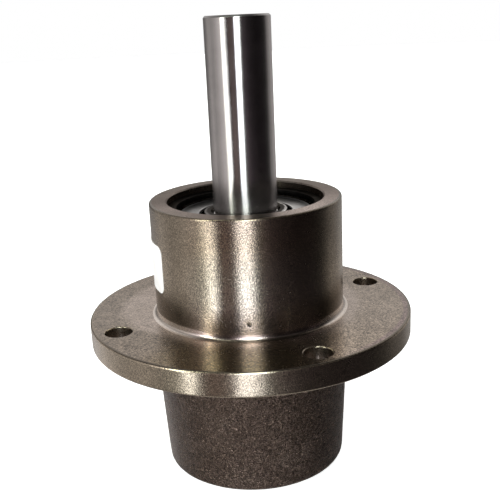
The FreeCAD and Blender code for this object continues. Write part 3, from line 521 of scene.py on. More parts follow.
def label_paper():
    """Plain white coated paper."""
    m, t, b = material("label_paper")
    p = t.position()
    fibre = t.noise(p, 1600.0, 4.0, 0.65)
    cloud = t.noise(p, 120.0, 3.0, 0.6)
    t.put(b.inputs["Base Color"], t.ramp(cloud, [(0.3, (0.90, 0.865, 0.875)), (0.7, (0.94, 0.905, 0.915))]))
    t.put(b.inputs["Roughness"], t.remap(fibre, 0.3, 0.7, 0.45, 0.62))
    t.put(b.inputs["Normal"], t.bump(fibre, 1.2e-5))
    return m


IRON = turned_iron()
FACE = turned_face()
CAST = cast_iron()
BORED = bored_iron("bored_iron", 1.0)
DRILLED = bored_iron("drilled_iron", 2.1)
FACED = faced_iron()
SHAFT = ground_steel("ground_shaft", (0.63, 0.592, 0.585), 0.188, 1.0, 0.02, foot=(0.044, 0.056, 1.34))
RING = ground_steel("bearing_ring", (0.62, 0.61, 0.60), 0.20, 0.7, 0.03, 0.0, 8.0e-7)
EDGE = ground_steel("turned_edge", (0.26, 0.25, 0.245), 0.30, 0.6, 0.05)
BALL = ground_steel("polished_ball", (0.72, 0.71, 0.71), 0.06)
SPACER = ground_steel("turned_tube", (0.45, 0.44, 0.42), 0.28, 0.6, 0.08, 1.5e-6)
SHEET = pressed_steel()
SHADED_SHEET = shaded_sheet()
RING_PAINTED_REFLECTION = ring_painted_reflection()
SPRING = black_spring()
GAP_SHADE = painted_gap_shade()
PAPER = label_paper()


# ------------------------------------------------------------------ lathe work
def corner(points, support=0.25):
    """A list of (r, z, round, steps) corners as a closed outline. Each round becomes an arc, and its ends get support points, so that flat faces shade flat."""
    out = []
    n = len(points)
    for i, (r, z, rad, steps) in enumerate(points):
        p = np.array((r, z), float)
        a = np.array(points[i - 1][:2], float) - p
        b = np.array(points[(i + 1) % n][:2], float) - p
        la, lb = np.linalg.norm(a), np.linalg.norm(b)
        a, b = a / la, b / lb
        if rad <= 0:
            out.append((r, z))
            continue
        half = math.acos(max(-1.0, min(1.0, float(a @ b)))) / 2
        cut = rad / math.tan(half)
        mid = (a + b) / np.linalg.norm(a + b)
        centre = p + mid * rad / math.sin(half)
        s, e = p + a * cut, p + b * cut
        if la > cut + 2 * support:
            out.append(tuple(p + a * (cut + support)))
        a0 = math.atan2(*(s - centre)[::-1])
        a1 = math.atan2(*(e - centre)[::-1])
        d = (a1 - a0 + math.pi) % (2 * math.pi) - math.pi
        for k in range(steps + 1):
            x = a0 + d * k / steps
            out.append((centre[0] + rad * math.cos(x), centre[1] + rad * math.sin(x)))
        if lb > cut + 2 * support:
            out.append(tuple(p + b * (cut + support)))
    return out


def make_object(name, verts, faces, mats, face_mats=None, sharp=35.0):
    mesh = bpy.data.meshes.new(name)
    mesh.from_pydata([tuple(float(c) for c in v) for v in verts], [], faces)
    for m in mats:
        mesh.materials.append(m)
    if face_mats is not None:
        mesh.polygons.foreach_set("material_index", face_mats)
    bm = bmesh.new()
    bm.from_mesh(mesh)
    loose = [v for v in bm.verts if not v.link_faces]
    bmesh.ops.delete(bm, geom=loose, context="VERTS")
    bmesh.ops.recalc_face_normals(bm, faces=bm.faces[:])
    bm.to_mesh(mesh)
    bm.free()
    mesh.shade_smooth()
    mesh.set_sharp_from_angle(angle=math.radians(sharp))
    mesh.update()
    obj = bpy.data.objects.new(name, mesh)
    scene.collection.objects.link(obj)
    return obj


def lathe(name, outline, mats, n=256, lift=0.0, mat_of=None):
    """Turn a closed outline of (r, z) in millimetres about the axis."""
    k = len(outline)
    ang = np.arange(n) * 2 * math.pi / n
    verts = np.empty((k, n, 3))
    for i, (r, z) in enumerate(outline):
        verts[i, :, 0] = r * np.cos(ang)
        verts[i, :, 1] = r * np.sin(ang)
        verts[i, :, 2] = z + lift
    faces, tags = [], []
    for i in range(k):
        j = (i + 1) % k
        tag = mat_of(outline[i], outline[j]) if mat_of else 0
        for s in range(n):
            q = (s + 1) % n
            faces.append((i * n + s, i * n + q, j * n + q, j * n + s))
            tags.append(tag)
    return make_object(name, verts.reshape(-1, 3) * MM, faces, mats, tags)


def settle(obj, body, slot, *replaced):
    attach(obj, body)
    if replaced:
        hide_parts(*replaced)
    return obj


# ------------------------------------------------------------------ housing
def hub_skin(x, y, z):
    """Height of the cast skin, in millimetres, at a point given in millimetres."""
    v = Vector((x, y, z))
    wave = noise.noise(v * 0.085)
    lumps = noise.fractal(v * 0.55, 0.8, 2.0, 3)
    grit = noise.noise(v * 1.35 + Vector((7.1, 3.7, 1.9)))
    pit = noise.noise(v * 0.42 + Vector((31.0, 17.0, 5.0)))
    d = -0.15 + 0.10 * wave + 0.050 * lumps + 0.040 * grit
    if pit > 0.50:
        d -= (pit - 0.50) * 1.1
    return d


def pit_depth(a, z):
    """Depth of the small pit on the boss, in millimetres."""
    u = 38.1 * ((a - PIT_ANGLE + math.pi) % (2 * math.pi) - math.pi)
    v = z - PIT_Z
    if abs(u) > 3 or abs(v) > 3:
        return 0.0
    s, w = (u - 1.25 * v) / 1.6, (1.25 * u + v) / 1.6
    return 0.20 * math.exp(-((s / 1.1) ** 2) - (w / 0.45) ** 2)


def build_housing():
    N = 400
    IRN, CST, BOR, FAC, TOP, DRL = 0, 1, 2, 3, 4, 5
    rows = []  # (r, z, material of the faces that start here, skin)

    def row(r, z, mat, skin=0.0):
        rows.append((r, z, mat, skin))

    def arc(cr, cz, rad, a0, a1, steps, mat, skin=0.0):
        for k in range(steps + 1):
            a = math.radians(a0 + (a1 - a0) * k / steps)
            row(cr + rad * math.cos(a), cz + rad * math.sin(a), mat, skin)

    # the foot of the hub, from the bore outwards
    row(31.0, -63.5, FAC)
    row(31.5, -64.0, FAC)
    row(31.8, -64.0, FAC)
    row(34.6, -64.0, FAC)
    # the tapered hub: its wall leans out by this angle
    lean = math.atan2(3.0, 54.5)
    tilt = math.degrees(lean)
    rad = 2.0
    # round at the foot, tangent to the foot and to the leaning wall
    cz = -64.0 + rad
    wall_r = lambda z: 37.0 + 3.0 * (z + 64.0) / 54.5
    cr = wall_r(cz) - rad / math.cos(lean)
    for k in range(7):
        a = math.radians(-90.0 + (90.0 - tilt) * k / 6)
        row(cr + rad * math.cos(a), cz + rad * math.sin(a), CST, 0.15 + 0.85 * k / 6)
    low = cz - rad * math.sin(lean)
    # fillet into the underside of the flange
    fr = 3.0
    fz = -9.5 - fr
    fcr = wall_r(fz) + fr / math.cos(lean)
    top = fz + fr * math.sin(lean)
    count = 92
    for k in range(1, count):
        z = low + (top - low) * k / count
        row(wall_r(z), z, CST, 1.0)
    for k in range(9):
        a = math.radians(180.0 - tilt - (90.0 - tilt) * k / 8)
        row(fcr + fr * math.cos(a), fz + fr * math.sin(a), CST, max(0.0, 1.0 - k / 8))
    # underside of the flange, with room for the bolt holes
    inner, outer, steps = 48.5, 63.4, 10
    row(fcr + 0.4, -9.5, IRN)
    under = len(rows)
    for k in range(steps + 1):
        row(inner + (outer - inner) * k / steps, -9.5, IRN)
    row(64.0, -9.5, IRN)
    arc(64.3, -8.8, 0.7, -90, 0, 6, IRN)
    row(65.0, -8.5, IRN)
    row(65.0, -1.1, IRN)
    arc(64.2, -0.8, 0.8, 0, 90, 8, IRN)
    row(63.9, 0.0, TOP)
    over = len(rows)
    for k in range(steps + 1):
        row(outer - (outer - inner) * k / steps, 0.0, TOP)
    row(44.0, 0.0, TOP)
    row(39.9, 0.0, IRN)
    arc(39.6, 1.5, 1.5, 270, 180, 12, IRN)
    row(38.1, 1.85, IRN)
    row(38.1, 2.95, IRN)
    boss = len(rows)
    for k in range(15):
        row(38.1, 4.0 + 0.3 * k, IRN)
    for z in (9.0, 12.0, 18.0, 26.0, 34.0, 42.0):
        row(38.1, z, IRN)
    row(38.1, 44.9, IRN)
    arc(37.3, 45.2, 0.8, 0, 90, 8, IRN)
    row(37.0, 46.0, FAC)
    row(31.9, 46.0, FAC)
    arc(31.6, 45.9, 0.1, 90, 135, 2, FAC)
    row(31.0, 45.45, BOR)
    for r, z in (
        (31.0, 45.2), (31.0, 43.2), (31.0, 43.0), (32.5, 43.0), (32.5, 40.85), (31.0, 40.85), (31.0, 40.6), (31.0, 24.1), (31.0, 23.85), (27.8, 23.85), (27.0, 23.05), (27.0, 22.6),
        (27.0, -40.6), (27.0, -41.05), (27.8, -41.85), (31.0, -41.85), (31.0, -42.1), (31.0, -58.6), (31.0, -58.85), (32.5, -58.85), (32.5, -61.0), (31.0, -61.0), (31.0, -61.2), (31.0, -63.2),
    ):
        row(r, z, BOR)

    K = len(rows)
    ang = np.arange(N) * 2 * math.pi / N
    verts = np.empty((K, N, 3))
    for i, (r, z, _, skin) in enumerate(rows):
        verts[i, :, 0] = r * np.cos(ang)
        verts[i, :, 1] = r * np.sin(ang)
        verts[i, :, 2] = z
        d = None
        if skin > 0:
            d = np.array([hub_skin(*v) for v in verts[i]]) * skin
        elif boss <= i < boss + 15:
            d = np.array([-pit_depth(a, z) for a in ang])
        if d is not None:
            verts[i, :, 0] += d * np.cos(ang)
            verts[i, :, 1] += d * np.sin(ang)
    window = 9  # segments each side of a hole
    hole_centres = (0, N // 4, N // 2, 3 * N // 4)
    taken = {(c + k) % N for c in hole_centres for k in range(-window, window)}
    faces, tags = [], []
    for i in range(K):
        j = (i + 1) % K
        in_hole = under <= i < under + steps or over <= i < over + steps
        for s in range(N):
            if in_hole and s in taken:
                continue
            q = (s + 1) % N
            faces.append((i * N + s, i * N + q, j * N + q, j * N + s))
            tags.append(rows[i][2])
    points = list(verts.reshape(-1, 3))

    def rim_of(first, ascending, c):
        """The grid points round a hole's window, in order: along the inner edge, out, back along the outer edge, in."""
        inner_row = first if ascending else first + steps
        way = 1 if ascending else -1
        outer_row = inner_row + way * steps
        loop = [(inner_row, k) for k in range(-window, window)]
        loop += [(inner_row + way * k, window) for k in range(steps)]
        loop += [(outer_row, k) for k in range(window, -window, -1)]
        loop += [(outer_row - way * k, -window) for k in range(steps)]
        return [a * N + (c + b) % N for a, b in loop]

    for c in hole_centres:
        a = 2 * math.pi * c / N
        centre = np.array((56.0 * math.cos(a), 56.0 * math.sin(a)))
        top_loop = rim_of(over, False, c)
        low_loop = rim_of(under, True, c)
        plan = [np.array(points[v][:2]) - centre for v in top_loop]
        dirs = [d / np.linalg.norm(d) for d in plan]
        reach = [np.linalg.norm(d) for d in plan]

        def ring(radius, z, share=None):
            first = len(points)
            for d, far in zip(dirs, reach):
                rr = radius if share is None else radius + (far - radius) * share
                points.append(np.array((*(centre + d * rr), z)))
            return list(range(first, first + len(dirs)))

        loops = [
            (top_loop, TOP),
            (ring(5.80, 0.0, 0.35), TOP),
            (ring(5.80, 0.0), TOP),
            (ring(5.58, 0.0), IRN),
            (ring(5.51, -0.03), IRN),
            (ring(5.31, -0.23), IRN),
            (ring(5.27, -0.31), DRL),
            (ring(5.25, -0.45), DRL),
            (ring(5.25, -9.05), DRL),
            (ring(5.27, -9.19), IRN),
            (ring(5.31, -9.27), IRN),
            (ring(5.51, -9.47), IRN),
            (ring(5.58, -9.50), IRN),
            (ring(5.80, -9.50), IRN),
            (ring(5.80, -9.50, 0.35), IRN),
            (low_loop, IRN),
        ]
        for (u, tag), (w, _) in zip(loops, loops[1:]):
            for s in range(len(u)):
                q = (s + 1) % len(u)
                faces.append((u[s], u[q], w[q], w[s]))
                tags.append(tag)
    return make_object("housing_casting", np.array(points) * MM, faces, [IRON, CAST, BORED, FACED, FACE, DRILLED], tags, 40.0)


housing = settle(build_housing(), "housing", "housing_iron", "spindle_housing")

# ------------------------------------------------------------------ shaft
shaft = settle(
    lathe(
        "shaft_ground",
        corner(
            [
                (8.95, -62.0, 0.1, 2), (12.3, -62.0, 0.1, 2), (12.7, -61.6, 0.1, 2),
                (12.7, 39.75, 0, 0), (12.35, 39.75, 0, 0), (12.35, 40.9, 0, 0), (12.7, 40.9, 0.08, 2),
                (12.7, 114.25, 0.3, 5), (11.95, 115.0, 0.3, 5), (8.95, 115.0, 0.12, 2), (8.15, 114.2, 0.12, 2), (8.15, -61.2, 0.12, 2),
            ]
        ),
        [SHAFT, BORED, EDGE],
        320,
        0.0,
        lambda p, q: 1 if p[0] < 8.3 and q[0] < 8.3 else 2 if min(p[1], q[1]) > 114.2 and max(p[0], q[0]) > 11.9 else 0,
    ),
    "shaft",
    "shaft_steel",
    "spindle_shaft",
)
settle(
    lathe(
        "thrust_collar",
        corner(
            [
                (13.0, -62.0, 0.08, 2), (15.9, -62.0, 0.15, 3), (16.5, -61.4, 0.15, 3), (16.5, -59.15, 0.08, 2),
                (16.2, -58.85, 0.08, 2), (13.0, -58.85, 0.08, 2), (12.7, -59.15, 0, 0), (12.7, -61.7, 0, 0),
            ],
            0.1,
        ),
        [SPACER],
        256,
    ),
    "shaft",
    "spacer_steel",
    "thrust_ring",
)


# ------------------------------------------------------------------ bearings
def arc_points(cr, cz, rad, a0, a1, steps):
    return [(cr + rad * math.cos(math.radians(a0 + (a1 - a0) * k / steps)), cz + rad * math.sin(math.radians(a0 + (a1 - a0) * k / steps)), 0, 0) for k in range(steps + 1)]


def inner_ring_outline():
    half = math.degrees(math.acos((22.04 - 17.9) / 5.98))
    race = arc_points(22.04, 0.0, 5.98, 180.0 + half, 180.0 - half, 18)
    return corner(
        [(13.9, -8.5, 0.3, 3), (16.6, -8.5, 0.3, 4), (16.6, -6.3, 0, 0), (17.9, -6.3, 0.2, 3)]
        + race
        + [(17.9, 6.3, 0.2, 3), (16.6, 6.3, 0, 0), (16.6, 8.5, 0.3, 4), (13.9, 8.5, 0.3, 3), (12.7, 7.3, 0.3, 3), (12.7, -7.3, 0.3, 3)],
        0.15,
    )


def outer_ring_outline():
    half = math.degrees(math.acos((25.3 - 21.66) / 5.98))
    race = arc_points(21.66, 0.0, 5.98, half, -half, 18)
    return corner(
        [(29.8, -8.5, 0.4, 3), (31.0, -7.3, 0.4, 3), (31.0, 7.3, 0.4, 3), (29.8, 8.5, 0.4, 3), (26.1, 8.5, 0.15, 3), (26.1, 8.1, 0, 0), (26.6, 8.1, 0, 0), (26.6, 7.3, 0, 0), (25.3, 7.3, 0.15, 2)]
        + race
        + [(25.3, -7.3, 0.15, 2), (26.6, -7.3, 0, 0), (26.6, -8.1, 0, 0), (26.1, -8.1, 0, 0), (26.1, -8.5, 0.15, 3)],
        0.15,
    )


def shield_outline(way):
    """A pressed shield: turned-in inner edge, flat web, and a rolled rim."""
    pts = [
        (18.4, 6.75, 0.15, 2), (18.9, 6.75, 0.15, 2), (18.9, 7.4, 0.1, 2), (25.55, 7.4, 0.1, 2), (25.8, 7.3, 0, 0), (26.55, 7.3, 0.2, 3),
        (26.55, 8.05, 0.3, 4), (25.9, 8.05, 0.3, 3), (25.3, 7.9, 0.3, 3), (18.4, 7.9, 0.42, 6),
    ]
    if way < 0:
        pts = [(r, -z, a, s) for r, z, a, s in pts][::-1]
    return corner(pts, 0.2)


on_top = lambda p, q: 1 if min(p[1], q[1]) > 7.2 and min(p[0], q[0]) < 29.9 else 0
in_gap = lambda p, q: 1 if min(p[0], q[0]) > 16.5 and max(abs(p[1]), abs(q[1])) < 8.25 else 0
for name, middle, steel in (("upper_bearing", 32.35, RING_PAINTED_REFLECTION), ("lower_bearing", -50.35, RING)):
    settle(lathe(name + "_race_in", inner_ring_outline(), [steel, GAP_SHADE], 256, middle, in_gap), "shaft", "bearing_steel", name + "_inner_ring")
    settle(lathe(name + "_race_out", outer_ring_outline(), [RING, GAP_SHADE], 256, middle, on_top), "housing", "bearing_steel", name + "_outer_ring")
settle(lathe("upper_bearing_cover", shield_outline(1), [SHADED_SHEET], 256, 32.35), "housing", "shield_steel", "upper_bearing_shield_top")
settle(lathe("lower_bearing_cover", shield_outline(-1), [SHEET], 256, -50.35), "housing", "shield_steel", "lower_bearing_shield_bottom")


# ------------------------------------------------------------------ circlips
def circlip(name, low, node):
    """An eyed circlip with softened edges, as a filled outline with a bevel."""
    soft = 0.14
    out_r, in_r, off = 32.4 - soft, 27.5 + soft, 0.6
    lug, gap, lug_in = 9.6 - soft, 4.2 + soft, 25.2 + soft
    rr = 1.0
    pts = []
    # outer edge, from the right lug's gap face round to the left one
    a0 = math.asin(gap / out_r)
    for k in range(181):
        a = math.pi / 2 - a0 - (2 * math.pi - 2 * a0) * k / 180
        pts.append((out_r * math.cos(a), out_r * math.sin(a)))

    def bend(cx, cy, b0, b1):
        for k in range(7):
            b = math.radians(b0 + (b1 - b0) * k / 6)
            pts.append((cx + rr * math.cos(b), cy + rr * math.sin(b)))

    # left lug: gap face down, round, along, round, up to the inner edge
    bend(-gap - rr, lug_in + rr, 0, -90)
    bend(-lug + rr, lug_in + rr, -90, -180)
    y_in = off + math.sqrt(in_r**2 - lug**2)
    b0 = math.atan2(y_in - off, -lug)
    b1 = math.atan2(y_in - off, lug)
    sweep = 2 * math.pi - (b0 - b1)
    for k in range(181):
        b = b0 + sweep * k / 180
        pts.append((in_r * math.cos(b), off + in_r * math.sin(b)))
    bend(lug - rr, lug_in + rr, 0, -90)
    bend(gap + rr, lug_in + rr, -90, -180)
    curve = bpy.data.curves.new(name + "_outline", "CURVE")
    curve.dimensions = "2D"
    curve.fill_mode = "BOTH"
    curve.extrude = (1.0 - soft) * MM
    curve.bevel_depth = soft * MM
    curve.bevel_resolution = 2

    def closed(points):
        s = curve.splines.new("POLY")
        s.points.add(len(points) - 1)
        for p, (x, y) in zip(s.points, points):
            p.co = (x * MM, y * MM, 0.0, 1.0)
        s.use_cyclic_u = True

    closed(pts)
    for side in (-1, 1):
        closed([(side * 6.9 + (1.3 + soft) * math.cos(2 * math.pi * k / 40), 27.9 + (1.3 + soft) * math.sin(2 * math.pi * k / 40)) for k in range(40)])
    temp = bpy.data.objects.new(name + "_outline", curve)
    scene.collection.objects.link(temp)
    bpy.context.view_layer.update()
    mesh = bpy.data.meshes.new_from_object(temp.evaluated_get(bpy.context.evaluated_depsgraph_get()))
    bpy.data.objects.remove(temp)
    bpy.data.curves.remove(curve)
    mesh.name = name
    mesh.transform(Matrix.Translation((0, 0, (low + 1.0) * MM)) @ Matrix.Rotation(math.radians(-24.4), 4, "Z"))
    bm = bmesh.new()
    bm.from_mesh(mesh)
    bmesh.ops.remove_doubles(bm, verts=bm.verts[:], dist=1e-6)
    bmesh.ops.recalc_face_normals(bm, faces=bm.faces[:])
    bm.to_mesh(mesh)
    bm.free()
    mesh.materials.clear()
    mesh.materials.append(SPRING)
    mesh.shade_smooth()
    mesh.set_sharp_from_angle(angle=math.radians(38))
    obj = bpy.data.objects.new(name, mesh)
    scene.collection.objects.link(obj)
    return settle(obj, "housing", "circlip_steel", node)


circlip("upper_retaining_clip", 40.85, "upper_circlip")
circlip("lower_retaining_clip", -60.85, "lower_circlip")


# ------------------------------------------------------------------ blank label
def build_label():
    """A paper label that follows the boss, with round corners and slightly raised edges."""
    width, height, corner_r = math.radians(74.2) * 38.2, 18.9, 3.2
    nu, nv = 96, 40
    mid_a, mid_z = math.radians(149.6), 12.9 + height / 2
    verts, faces = [], []
    vs = [-math.cos(math.pi * k / nv) for k in range(nv + 1)]
    for layer in (0, 1):
        for v in vs:
            z = v * height / 2
            over_z = abs(z) - (height / 2 - corner_r)
            half = width / 2
            if over_z > 0:
                half -= corner_r - math.sqrt(max(0.0, corner_r**2 - over_z**2))
            for k in range(nu + 1):
                s = half * (2 * k / nu - 1)
                edge = min(half - abs(s), height / 2 - abs(z))
                r = 38.1 + (0.015 if layer == 0 else 0.16)
                # the edges are not quite stuck down, and the sheet has a faint ripple
                lift = 0.05 * math.exp(-edge / 0.9) + 0.012 * (1 + noise.noise(Vector((s * 0.12, z * 0.16, 4.0))))
                r += min(lift, 0.075) if layer else min(lift, 0.075) * 0.9
                a = mid_a + s / 38.2
                verts.append((r * math.cos(a) * MM, r * math.sin(a) * MM, (mid_z + z) * MM))
    per = (nu + 1) * (nv + 1)
    idx = lambda layer, j, k: layer * per + j * (nu + 1) + k
    for j in range(nv):
        for k in range(nu):
            faces.append((idx(0, j, k), idx(0, j + 1, k), idx(0, j + 1, k + 1), idx(0, j, k + 1)))
            faces.append((idx(1, j, k), idx(1, j, k + 1), idx(1, j + 1, k + 1), idx(1, j + 1, k)))
    for j in range(nv):
        faces.append((idx(0, j, 0), idx(1, j, 0), idx(1, j + 1, 0), idx(0, j + 1, 0)))
        faces.append((idx(0, j, nu), idx(0, j + 1, nu), idx(1, j + 1, nu), idx(1, j, nu)))
    for k in range(nu):
        faces.append((idx(0, 0, k), idx(0, 0, k + 1), idx(1, 0, k + 1), idx(1, 0, k)))
        faces.append((idx(0, nv, k), idx(1, nv, k), idx(1, nv, k + 1), idx(0, nv, k + 1)))
    return make_object("paper_label", verts, faces, [PAPER], None, 50.0)


settle(build_label(), "housing", "label_paper", "blank_label")

# ------------------------------------------------------------------ finishes of the pieces that keep their CAD shape
for node, mat in (
    ("bearing_spacer", SPACER),
    ("upper_bearing_balls", BALL),
    ("lower_bearing_balls", BALL),
    ("upper_bearing_cage_top", SHEET),
    ("upper_bearing_cage_bottom", SHEET),
    ("upper_bearing_cage_rivets", SHEET),
    ("lower_bearing_cage_top", SHEET),
    ("lower_bearing_cage_bottom", SHEET),
    ("lower_bearing_cage_rivets", SHEET),
    ("upper_bearing_shield_bottom", SHEET),
    ("lower_bearing_shield_top", SHEET),
):
    o = nodes_of_part[node]
    if not o.material_slots:
        o.data.materials.append(mat)
    for s in o.material_slots:
        s.material = mat

# ------------------------------------------------------------------ camera
# the picture's axes: x to the right, y away from the camera, z up; the part is turned from them by TURN
D, H, PITCH, YAW, ROLL, FOCAL = 308.178, 113.995, 16.351, 0.179, -2.628, 794.548
p, w, r = (math.radians(v) for v in (PITCH, YAW, ROLL))
fwd = Vector((0, math.cos(p), -math.sin(p)))
up = Vector((0, math.sin(p), math.cos(p)))
right = Vector((1, 0, 0))
yaw = Matrix(((math.cos(w), math.sin(w), 0), (-math.sin(w), math.cos(w), 0), (0, 0, 1)))
fwd, up, right = yaw @ fwd, yaw @ up, yaw @ right
right, up = math.cos(r) * right + math.sin(r) * up, -math.sin(r) * right + math.cos(r) * up
to_part = Matrix.Rotation(-TURN, 3, "Z")
place = to_part @ Vector((0, -D * MM, H * MM))
fwd, up, right = to_part @ fwd, to_part @ up, to_part @ right
cam_data = bpy.data.cameras.new("camera")
cam_data.sensor_fit = "HORIZONTAL"
cam_data.sensor_width = 36.0
cam_data.lens = FOCAL * 36.0 / 500.0
cam_data.clip_start = 0.01
cam_data.clip_end = 100.0
camera = bpy.data.objects.new("camera", cam_data)
scene.collection.objects.link(camera)
camera.matrix_world = Matrix(
    (
        (right.x, up.x, -fwd.x, place.x),
        (right.y, up.y, -fwd.y, place.y),
        (right.z, up.z, -fwd.z, place.z),
        (0, 0, 0, 1),
    )
)
scene.camera = camera


# ------------------------------------------------------------------ studio: two tall soft strips on the left and in front, dark on the right
def studio_world():
    world = bpy.data.worlds.new("studio")
    scene.world = world
    world.use_nodes = True
    world.node_tree.nodes.clear()
    t = Tree(world.node_tree)
    out = t.add("ShaderNodeOutputWorld")
    back = t.add("ShaderNodeBackground")
    t.put(out.inputs["Surface"], back.outputs[0])
    coord = t.add("ShaderNodeTexCoord").outputs["Generated"]
    turn = t.add("ShaderNodeMapping", vector_type="POINT")
    t.put(turn.inputs["Vector"], t.vec("NORMALIZE", coord))
    turn.inputs["Rotation"].default_value = (0, 0, TURN)
    sep = t.add("ShaderNodeSeparateXYZ")
    t.put(sep.inputs[0], turn.outputs[0])
    x, y, z = sep.outputs
    deg = 180.0 / math.pi
    az = t.math("MULTIPLY", t.math("ARCTAN2", x, t.math("MULTIPLY", y, -1.0)), deg)
    el = t.math("MULTIPLY", t.math("ARCSINE", z), deg)
    share = t.math("ADD", t.math("DIVIDE", az, 360.0), 0.5)

    def around(stops):
        warm = (1.0, 0.965, 0.945)
        return t.ramp(share, [((a + 180.0) / 360.0, tuple(v * c for c in warm)) for a, v in stops])

    # the room at eye level, and lower down where the bench reflects
    level = around([(-180, 0.24), (-166, 0.24), (-152, 0.13), (-138, 0.18), (-122, 0.33), (-98, 0.34), (-80, 0.45), (-66, 0.74), (-50, 0.5), (-40, 0.06), (-25, 0.06), (-15, 0.11), (9, 0.09), (16, 0.025), (35, 0.007), (60, 0.002), (85, 0.011), (97, 0.018), (106, 0.04), (122, 0.26), (145, 0.40), (160, 0.32), (172, 0.27), (180, 0.24)])
    lower = around([(-180, 0.58), (-164, 0.64), (-150, 1.08), (-138, 1.08), (-123, 0.98), (-113, 0.80), (-104, 0.57), (-85, 0.64), (-75, 0.42), (-63, 0.06), (-50, 0.10), (-27, 0.17), (-15, 0.20), (8, 0.14), (18, 0.07), (30, 0.04), (60, 0.032), (78, 0.034), (95, 0.042), (108, 0.056), (123, 0.048), (132, 0.075), (140, 0.23), (150, 0.33), (162, 0.36), (180, 0.58)])
    bench = around([(-180, 0.30), (-90, 0.265), (-45, 0.28), (0, 0.43), (18, 0.31), (34, 0.095), (50, 0.050), (75, 0.075), (100, 0.15), (130, 0.21), (180, 0.30)])
    middle = around([(-180, 0.0), (-140, 0.0), (-120, 0.05), (-104, 0.0), (-88, 0.0), (-76, 0.17), (-66, 0.17), (-58, 0.04), (-36, 0.0), (-29, 0.22), (-25, 0.28), (-18, 0.04), (8, 0.0), (13, 0.24), (19, 0.26), (27, 0.125), (34, 0.085), (43, 0.055), (62, 0.018), (90, 0.010), (101, 0.06), (109, 0.16), (118, 0.17), (128, 0.06), (138, 0.0), (180, 0.0)])
    sink = t.math("POWER", t.remap(el, -2.0, -27.0), 2.0)
    base = t.mix(sink, level, lower)
    hump = t.math("SUBTRACT", 1.0, t.math("ABSOLUTE", t.math("DIVIDE", t.math("ADD", el, 17.0), 9.0)), clamp=True)
    base = t.vec("ADD", base, t.vec("SCALE", middle, scale=hump))
    # between the strips and on the right the room is a little redder
    gap = t.math("MULTIPLY", t.remap(az, -44.0, -36.0), t.remap(az, -14.0, -8.0, 1.0, 0.0))
    base = t.mix(gap, base, t.vec("MULTIPLY", base, (1.10, 0.88, 0.87)))
    dim = t.math("MULTIPLY", t.remap(az, 8.0, 18.0), t.remap(az, 75.0, 100.0, 1.0, 0.0))
    base = t.mix(dim, base, t.vec("MULTIPLY", base, (0.90, 0.77, 0.88)))
    # behind the object the room is lighter above the horizon
    behind = t.remap(t.math("ABSOLUTE", az), 105.0, 150.0, 0.0, 1.0, "SMOOTHSTEP")
    rise = t.remap(el, 6.0, 21.0, 0.0, 1.0, "SMOOTHSTEP")
    sky = t.math("MULTIPLY", t.math("MULTIPLY", behind, rise), 0.66)
    base = t.vec("ADD", base, t.vec("SCALE", (1.0, 0.97, 0.95), scale=sky))
    # and so it is in front, higher up
    front = t.remap(t.math("MULTIPLY", y, -1.0), -0.1, 0.35, 0.0, 1.0, "SMOOTHSTEP")
    high = t.remap(el, 16.0, 30.0, 0.0, 1.0, "SMOOTHSTEP")
    base = t.vec("ADD", base, t.vec("SCALE", (1.0, 0.94, 0.90), scale=t.math("MULTIPLY", t.math("MULTIPLY", front, high), 0.11)))

    def strip(stops, soft_left, soft_right):
        """A tall soft box: (elevation, left edge, right edge) stops from the top down."""
        left, right = stops[0][1], stops[0][2]
        for (e0, l0, r0), (e1, l1, r1) in zip(stops, stops[1:]):
            k = t.remap(el, e0, e1)
            left = t.math("ADD", t.math("MULTIPLY", k, l1 - l0), left)
            right = t.math("ADD", t.math("MULTIPLY", k, r1 - r0), right)
        a = t.remap(t.math("SUBTRACT", az, left), -soft_left, soft_left, 0.0, 1.0, "SMOOTHSTEP")
        b = t.remap(t.math("SUBTRACT", az, right), -soft_right, soft_right, 1.0, 0.0, "SMOOTHSTEP")
        return t.math("MULTIPLY", a, b)

    # the strips end a little under the bench's edge and below the dark ceiling
    reach = t.remap(el, -46.0, -36.0, 0.0, 1.0, "SMOOTHSTEP")
    reach = t.math("MULTIPLY", reach, t.remap(el, 4.0, 16.0, 1.0, 1.95))
    reach = t.math("MULTIPLY", reach, t.remap(el, -13.5, -11.0, 1.0, 0.92))
    one = t.math("MULTIPLY", strip([(18, -56.5, -48.6), (1, -60.5, -46.8), (-15, -48.2, -38.6), (-22, -47.0, -36.2), (-27, -47.2, -43.4)], 3.0, 1.6), t.math("MULTIPLY", reach, t.math("MULTIPLY", t.remap(el, -16.0, -21.0, 1.0, 1.16), t.remap(el, -23.5, -26.5, 1.0, 0.84))))
    two = t.math("MULTIPLY", strip([(18, -9.5, 10.0), (1, -11, 6.4), (-10, -11.6, 5.6), (-14.5, -11.8, 3.4), (-22, -10.8, 8.2), (-27, -11.0, -0.2)], 2.0, 2.0), reach)
    pale = t.mix(t.remap(el, -14.0, -20.0), (1.0, 1.03, 0.98, 1.0), (1.0, 1.07, 1.12, 1.0))
    # higher up both are a little greener
    green = t.remap(el, 5.0, 13.0)
    pale = t.mix(green, pale, (1.0, 1.13, 0.96, 1.0))
    cool = t.mix(green, (0.95, 1.01, 1.12, 1.0), (0.99, 1.11, 1.05, 1.0))
    total = t.vec("ADD", base, t.vec("SCALE", pale, scale=t.math("MULTIPLY", one, 3.75)))
    total = t.vec("ADD", total, t.vec("SCALE", cool, scale=t.math("MULTIPLY", two, 3.6)))
